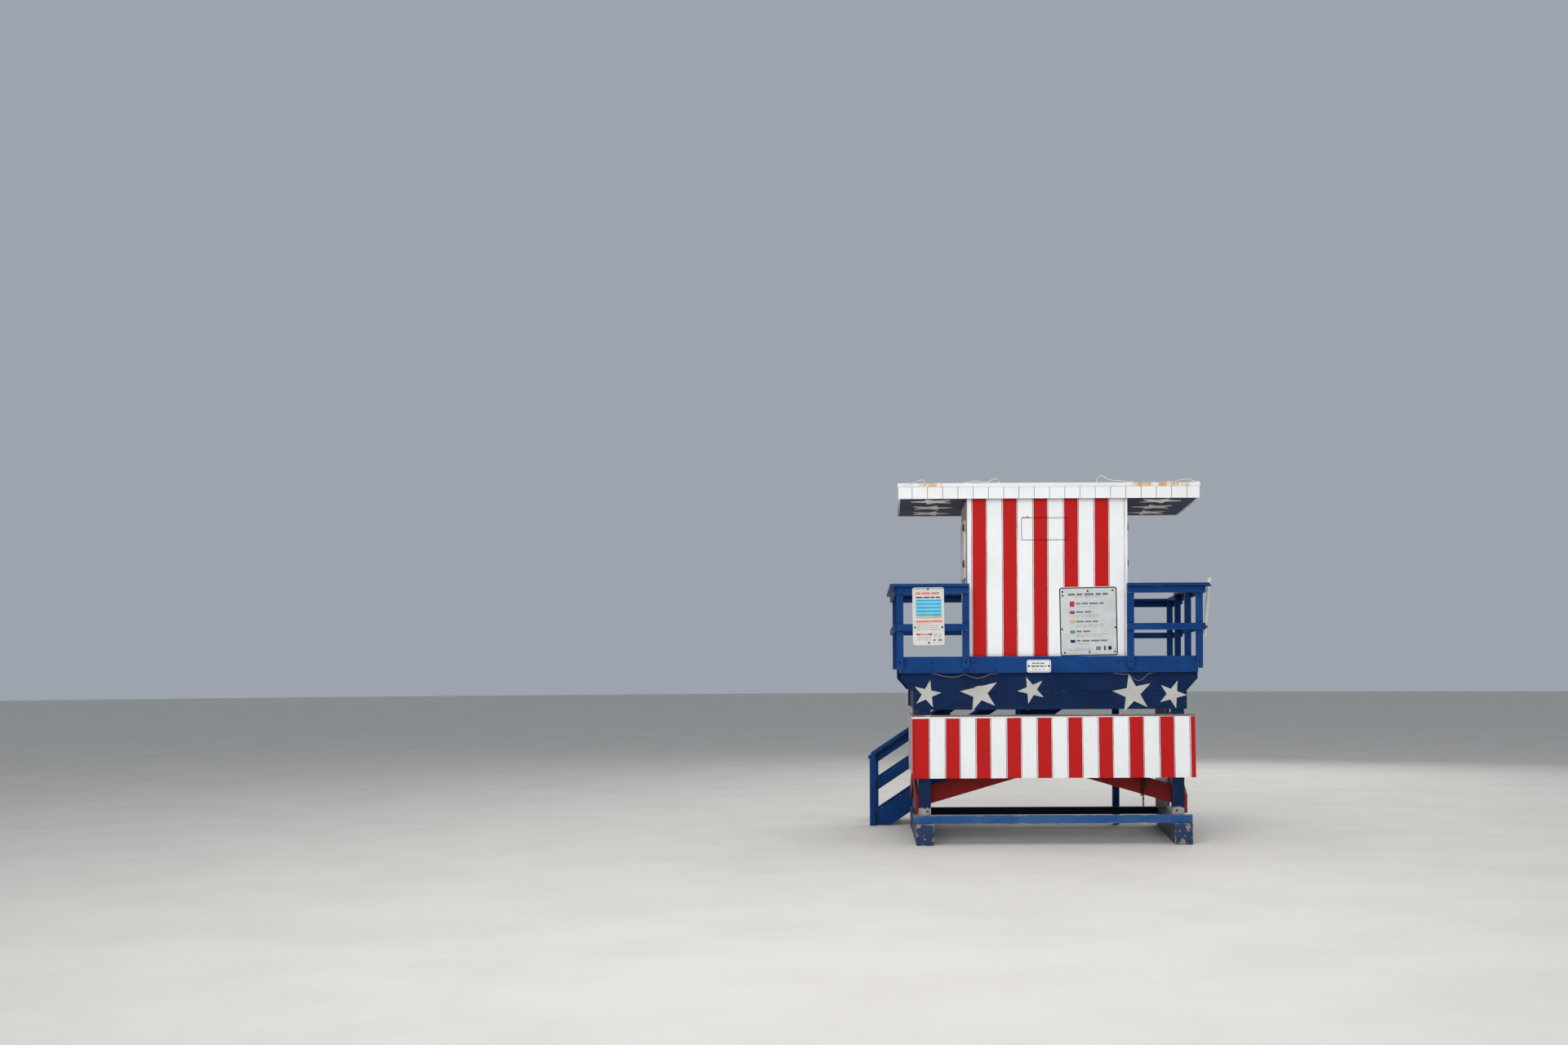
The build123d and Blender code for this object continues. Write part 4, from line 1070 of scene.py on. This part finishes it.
# Short chain on a staple behind the skirt's foot: each strand is (across, links)
chain = {"wire": 0.0045, "radius": 0.012, "stretch": 1.75, "pitch": 0.032, "behind": 0.016, "top": 0.03,
         "twist": 25, "strands": ((1.371, 14), (1.345, 9), (1.4, 6))}
staple = {"half": 0.012, "foot": 0.026, "head": 0.034, "past": 0.003}
railLow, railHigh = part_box("front_skirt_rail")
chainAt = railHigh.y + chain["behind"]
bm = bmesh.new()
for across, count in chain["strands"]:
    for index in range(count):
        ring = bmesh.ops.create_circle(bm, segments=6, radius=chain["wire"])["verts"]
        shift(bm, ring, (chain["radius"], 0, 0))
        rim = edgesOf(ring)
        fresh = set(bm.verts)
        bmesh.ops.spin(bm, geom=ring + rim, cent=(0, 0, 0), axis=(0, 1, 0), angle=math.tau, steps=12,
                       use_merge=True)
        link = ring + [vert for vert in bm.verts if vert not in fresh]
        bmesh.ops.scale(bm, vec=(1, 1, chain["stretch"]), verts=link)
        turn(bm, link, chain["twist"] + 90 * (index % 2), "Z")
        shift(bm, link, (across, chainAt, railLow.z + chain["top"] - index * chain["pitch"]))
    box(bm, (across - staple["half"], railHigh.y, railLow.z + staple["foot"]),
        (across + staple["half"], chainAt + staple["past"], railLow.z + staple["head"]))
bmesh.ops.recalc_face_normals(bm, faces=bm.faces)
addPiece("hanging_chain", bm, [darkIron], "black_plastic")

# The pole, its ties and the clips stay as they are, with their own finishes
polePlastic = plainFinish("polePlastic", (0.85, 0.82, 0.76), (0.74, 0.7, 0.62),
                          (0.4, 0.36, 0.3), scale=8, gloss=0.42, grainDepth=0.0006)
tiePlastic = plainFinish("tiePlastic", (0.02, 0.02, 0.022), (0.035, 0.035, 0.037),
                         (0.08, 0.08, 0.08), scale=30, gloss=0.45)
wirePlastic = plainFinish("wirePlastic", (0.78, 0.78, 0.76), (0.6, 0.6, 0.57),
                          (0.3, 0.28, 0.25), scale=6)
cablePlastic = plainFinish("cablePlastic", (0.19, 0.165, 0.165), (0.14, 0.125, 0.13),
                           (0.08, 0.07, 0.07), scale=6)
dress("white_pole", polePlastic)
dress("pole_ties", tiePlastic)
dress("cable_clips", tiePlastic)
dress("roof_wire_clips", wirePlastic)
for name, piece in cords.items():
    piece.data.materials.append(cablePlastic if name in cableRoutes else wirePlastic)

# Notice plates, with plain bars and colour fields in place of any wording
plateInks = {
    "plateGrey": (0.58, 0.6, 0.6), "plateWhite": (0.82, 0.83, 0.83), "plateCream": (0.7, 0.67, 0.63),
    "inkDark": (0.02, 0.018, 0.02), "inkGrey": (0.17, 0.175, 0.185), "inkFaint": (0.35, 0.355, 0.36),
    "inkRed": (0.42, 0.035, 0.04), "inkRose": (0.68, 0.24, 0.2), "inkYellow": (0.66, 0.45, 0.16),
    "inkGreen": (0.06, 0.28, 0.17), "inkNavy": (0.02, 0.02, 0.12), "inkSea": (0.04, 0.4, 0.62),
    "inkPale": (0.22, 0.6, 0.74), "inkSand": (0.5, 0.48, 0.34),
}
inkOrder = list(plateInks)
inks = []
for name, colour in plateInks.items():
    worn, mark = ([part * share for part in colour] for share in (0.88, 0.6))
    inks.append(plainFinish(name, colour, worn, mark, scale=6, keep=0.68, gloss=0.4, grainDepth=0.0003))
plateMake = {"thick": 0.004, "printRise": 0.0007, "printSunk": 0.0005, "screwFoot": 0.014, "screwTop": 0.01,
             "screwDeep": 0.006, "screwRise": 0.0015}


def inkFaces(faces, ink):
    for face in faces:
        face.material_index = inkOrder.index(ink)


def noticePlate(name, plate, prints):
    # low and high are across from the deck's middle and up; prints are (ink, x0, x1, z0, z1) in mm from the
    # plate's lower left corner, and screws are (x, z) from there
    thick, face = plateMake["thick"], plate["face"]
    (left, foot), (right, top) = plate["low"], plate["high"]
    left, right = shiftX + left, shiftX + right
    bm = bmesh.new()
    box(bm, (left, face - thick, foot), (right, face, top))
    corners = [edge for edge in bm.edges if abs(edge.verts[0].co.y - edge.verts[1].co.y) > thick / 2]
    roundEdges(bm, plate["corner"], 5, corners)
    inkFaces(bm.faces, plate["rim"][0])
    inset(bm, largest(bm, toLand), plate["rim"][1])
    inkFaces(inset(bm, largest(bm, toLand), plate["line"][1]), plate["line"][0])
    inkFaces([largest(bm, toLand)], plate["ground"])
    for ink, x0, x1, z0, z1 in prints:
        verts = box(bm, (left + x0 / 1000, face - thick - plateMake["printRise"], foot + z0 / 1000),
                    (left + x1 / 1000, face - thick + plateMake["printSunk"], foot + z1 / 1000))
        inkFaces(facesOf(verts), ink)
    for x, z in plate["screws"]:
        verts = cone(bm, 12, plateMake["screwFoot"], plateMake["screwTop"], plateMake["screwDeep"])
        turn(bm, verts, 90, "X")
        shift(bm, verts, (left + x / 1000, face - thick - plateMake["screwRise"], foot + z / 1000))
        inkFaces(facesOf(verts), "inkDark")
    turn(bm, bm.verts, plate["lean"], "Y", ((left + right) / 2, face, (foot + top) / 2))
    bmesh.ops.recalc_face_normals(bm, faces=bm.faces)
    addPiece(name, bm, inks, "white_paint")


barDraw = random.Random(7)


def bars(ink, start, end, low, high, word=(30, 95), space=14):
    # a row of plain bars of uneven length, in place of wording
    row = []
    while start < end - word[0] / 2:
        stop = min(end, start + barDraw.uniform(*word))
        row.append((ink, start, stop, low, high))
        start = stop + space
    return row


flagPlate = {"low": (0.137, 2.513), "high": (0.915, 3.44), "face": hutFront, "rim": ("plateWhite", 0.005),
             "line": ("inkDark", 0.015), "ground": "plateGrey", "lean": -0.9, "corner": 0.04,
             "screws": ((47, 863), (49, 812), (384, 869), (717, 874), (33, 365), (747, 379), (65, 49),
                        (396, 54), (734, 57)),
             "field": (142, 206), "wordsFrom": 226, "words": (-6, 16), "smallWords": (-40, -31), "step": 24}
flagRows = (                    # ink, height, height of the field, end of the row and ends of its lines
    ("inkRed", 698, 72, 600, (430,)), ("inkRed", 586, 40, 436, (560, 520)),
    ("inkYellow", 458, 40, 518, (575, 590)), ("inkGreen", 327, 40, 452, (620, 560)),
    ("inkNavy", 202, 40, 632, (400,)),
)
prints = bars("inkGrey", 120, 655, 812, 840, (60, 160), 26) + bars("inkFaint", 205, 560, 790, 798)
for ink, height, tall, long, lines in flagRows:
    prints.append((ink, *flagPlate["field"], height - tall / 2, height + tall / 2))
    low, high = (height + part for part in flagPlate["words"])
    prints += bars("inkGrey", flagPlate["wordsFrom"], long, low, high, (50, 130), 18)
    for index, end in enumerate(lines):
        low, high = (height + part - flagPlate["step"] * index for part in flagPlate["smallWords"])
        prints += bars("inkFaint", flagPlate["wordsFrom"], end, low, high)
prints += bars("inkFaint", 95, 430, 94, 102) + bars("inkFaint", 95, 430, 74, 82)
prints += [("inkGrey", 482, 546, 78, 128), ("inkDark", 590, 610, 76, 136), ("inkDark", 645, 690, 80, 130)]
noticePlate("flag_plate", flagPlate, prints)

seaPlate = {"low": (-1.818, 2.668), "high": (-1.4, 3.435), "face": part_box("front_rails")[0].y + 0.048,
            "rim": ("plateCream", 0.018), "line": ("plateGrey", 0.01), "ground": "plateCream", "lean": -0.6,
            "corner": 0.03, "screws": ((207, 742), (32, 236), (392, 236), (212, 30)),
            "bands": 9, "bandFoot": 388, "bandTall": 24}
prints = bars("inkRose", 46, 388, 668, 700, (60, 130), 16) + bars("inkDark", 46, 388, 622, 640, (40, 90), 12)
for index in range(seaPlate["bands"]):
    foot = seaPlate["bandFoot"] + seaPlate["bandTall"] * index
    prints.append(("inkPale" if index % 2 else "inkSea", 46, 382, foot, foot + seaPlate["bandTall"]))
prints += [("inkSand", 46, 382, 352, 388), ("inkRose", 42, 392, 300, 328)]
for height, end in ((278, 230), (252, 330), (226, 350), (200, 370)):
    prints += bars("inkFaint", 60, end, height, height + 9)
prints += [("inkRed", 46, 92, 130, 154), ("inkRose", 96, 205, 130, 154), ("inkRed", 209, 255, 130, 154)]
for height in (104, 84, 64):
    prints += bars("inkFaint", 60, 240, height, height + 8)
    prints += bars("inkFaint", 275, 385, height + 40, height + 48)
prints += [("inkDark", 274, 298, 56, 76), ("inkGreen", 338, 380, 52, 80)]
noticePlate("sea_plate", seaPlate, prints)

smallPlate = {"low": (-0.303, 2.3), "high": (0.018, 2.467), "face": fasciaLow.y,
              "rim": ("plateWhite", 0.011), "line": ("inkGrey", 0.006), "ground": "plateWhite", "lean": 0.0,
              "corner": 0.026, "screws": ((30, 84), (291, 84))}
prints = bars("inkGrey", 70, 246, 112, 130, (30, 60), 10) + bars("inkGrey", 60, 256, 70, 92, (30, 60), 10)
prints += bars("inkFaint", 70, 246, 34, 46, (20, 50), 8)
noticePlate("small_plate", smallPlate, prints)
print("plates fixed")

# Plain pale floor, which isn't part of the tower
sandRadius = 150
sand = plainFinish("sandFloor", (0.74, 0.7, 0.64), (0.7, 0.66, 0.6), (0.68, 0.64, 0.58),
                   scale=0.7, keep=0.7, gloss=0.8, grainDepth=0.004)
ground = bmesh.new()
bmesh.ops.create_circle(ground, cap_ends=True, segments=64, radius=sandRadius)
groundMesh = bpy.data.meshes.new("sandFloor")
ground.to_mesh(groundMesh)
ground.free()
groundMesh.materials.append(sand)
addObject("sandFloor", groundMesh)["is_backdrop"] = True

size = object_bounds()
{"cad": [list(cadLow), list(cadHigh)], "visual": [list(size[0]), list(size[1])]}
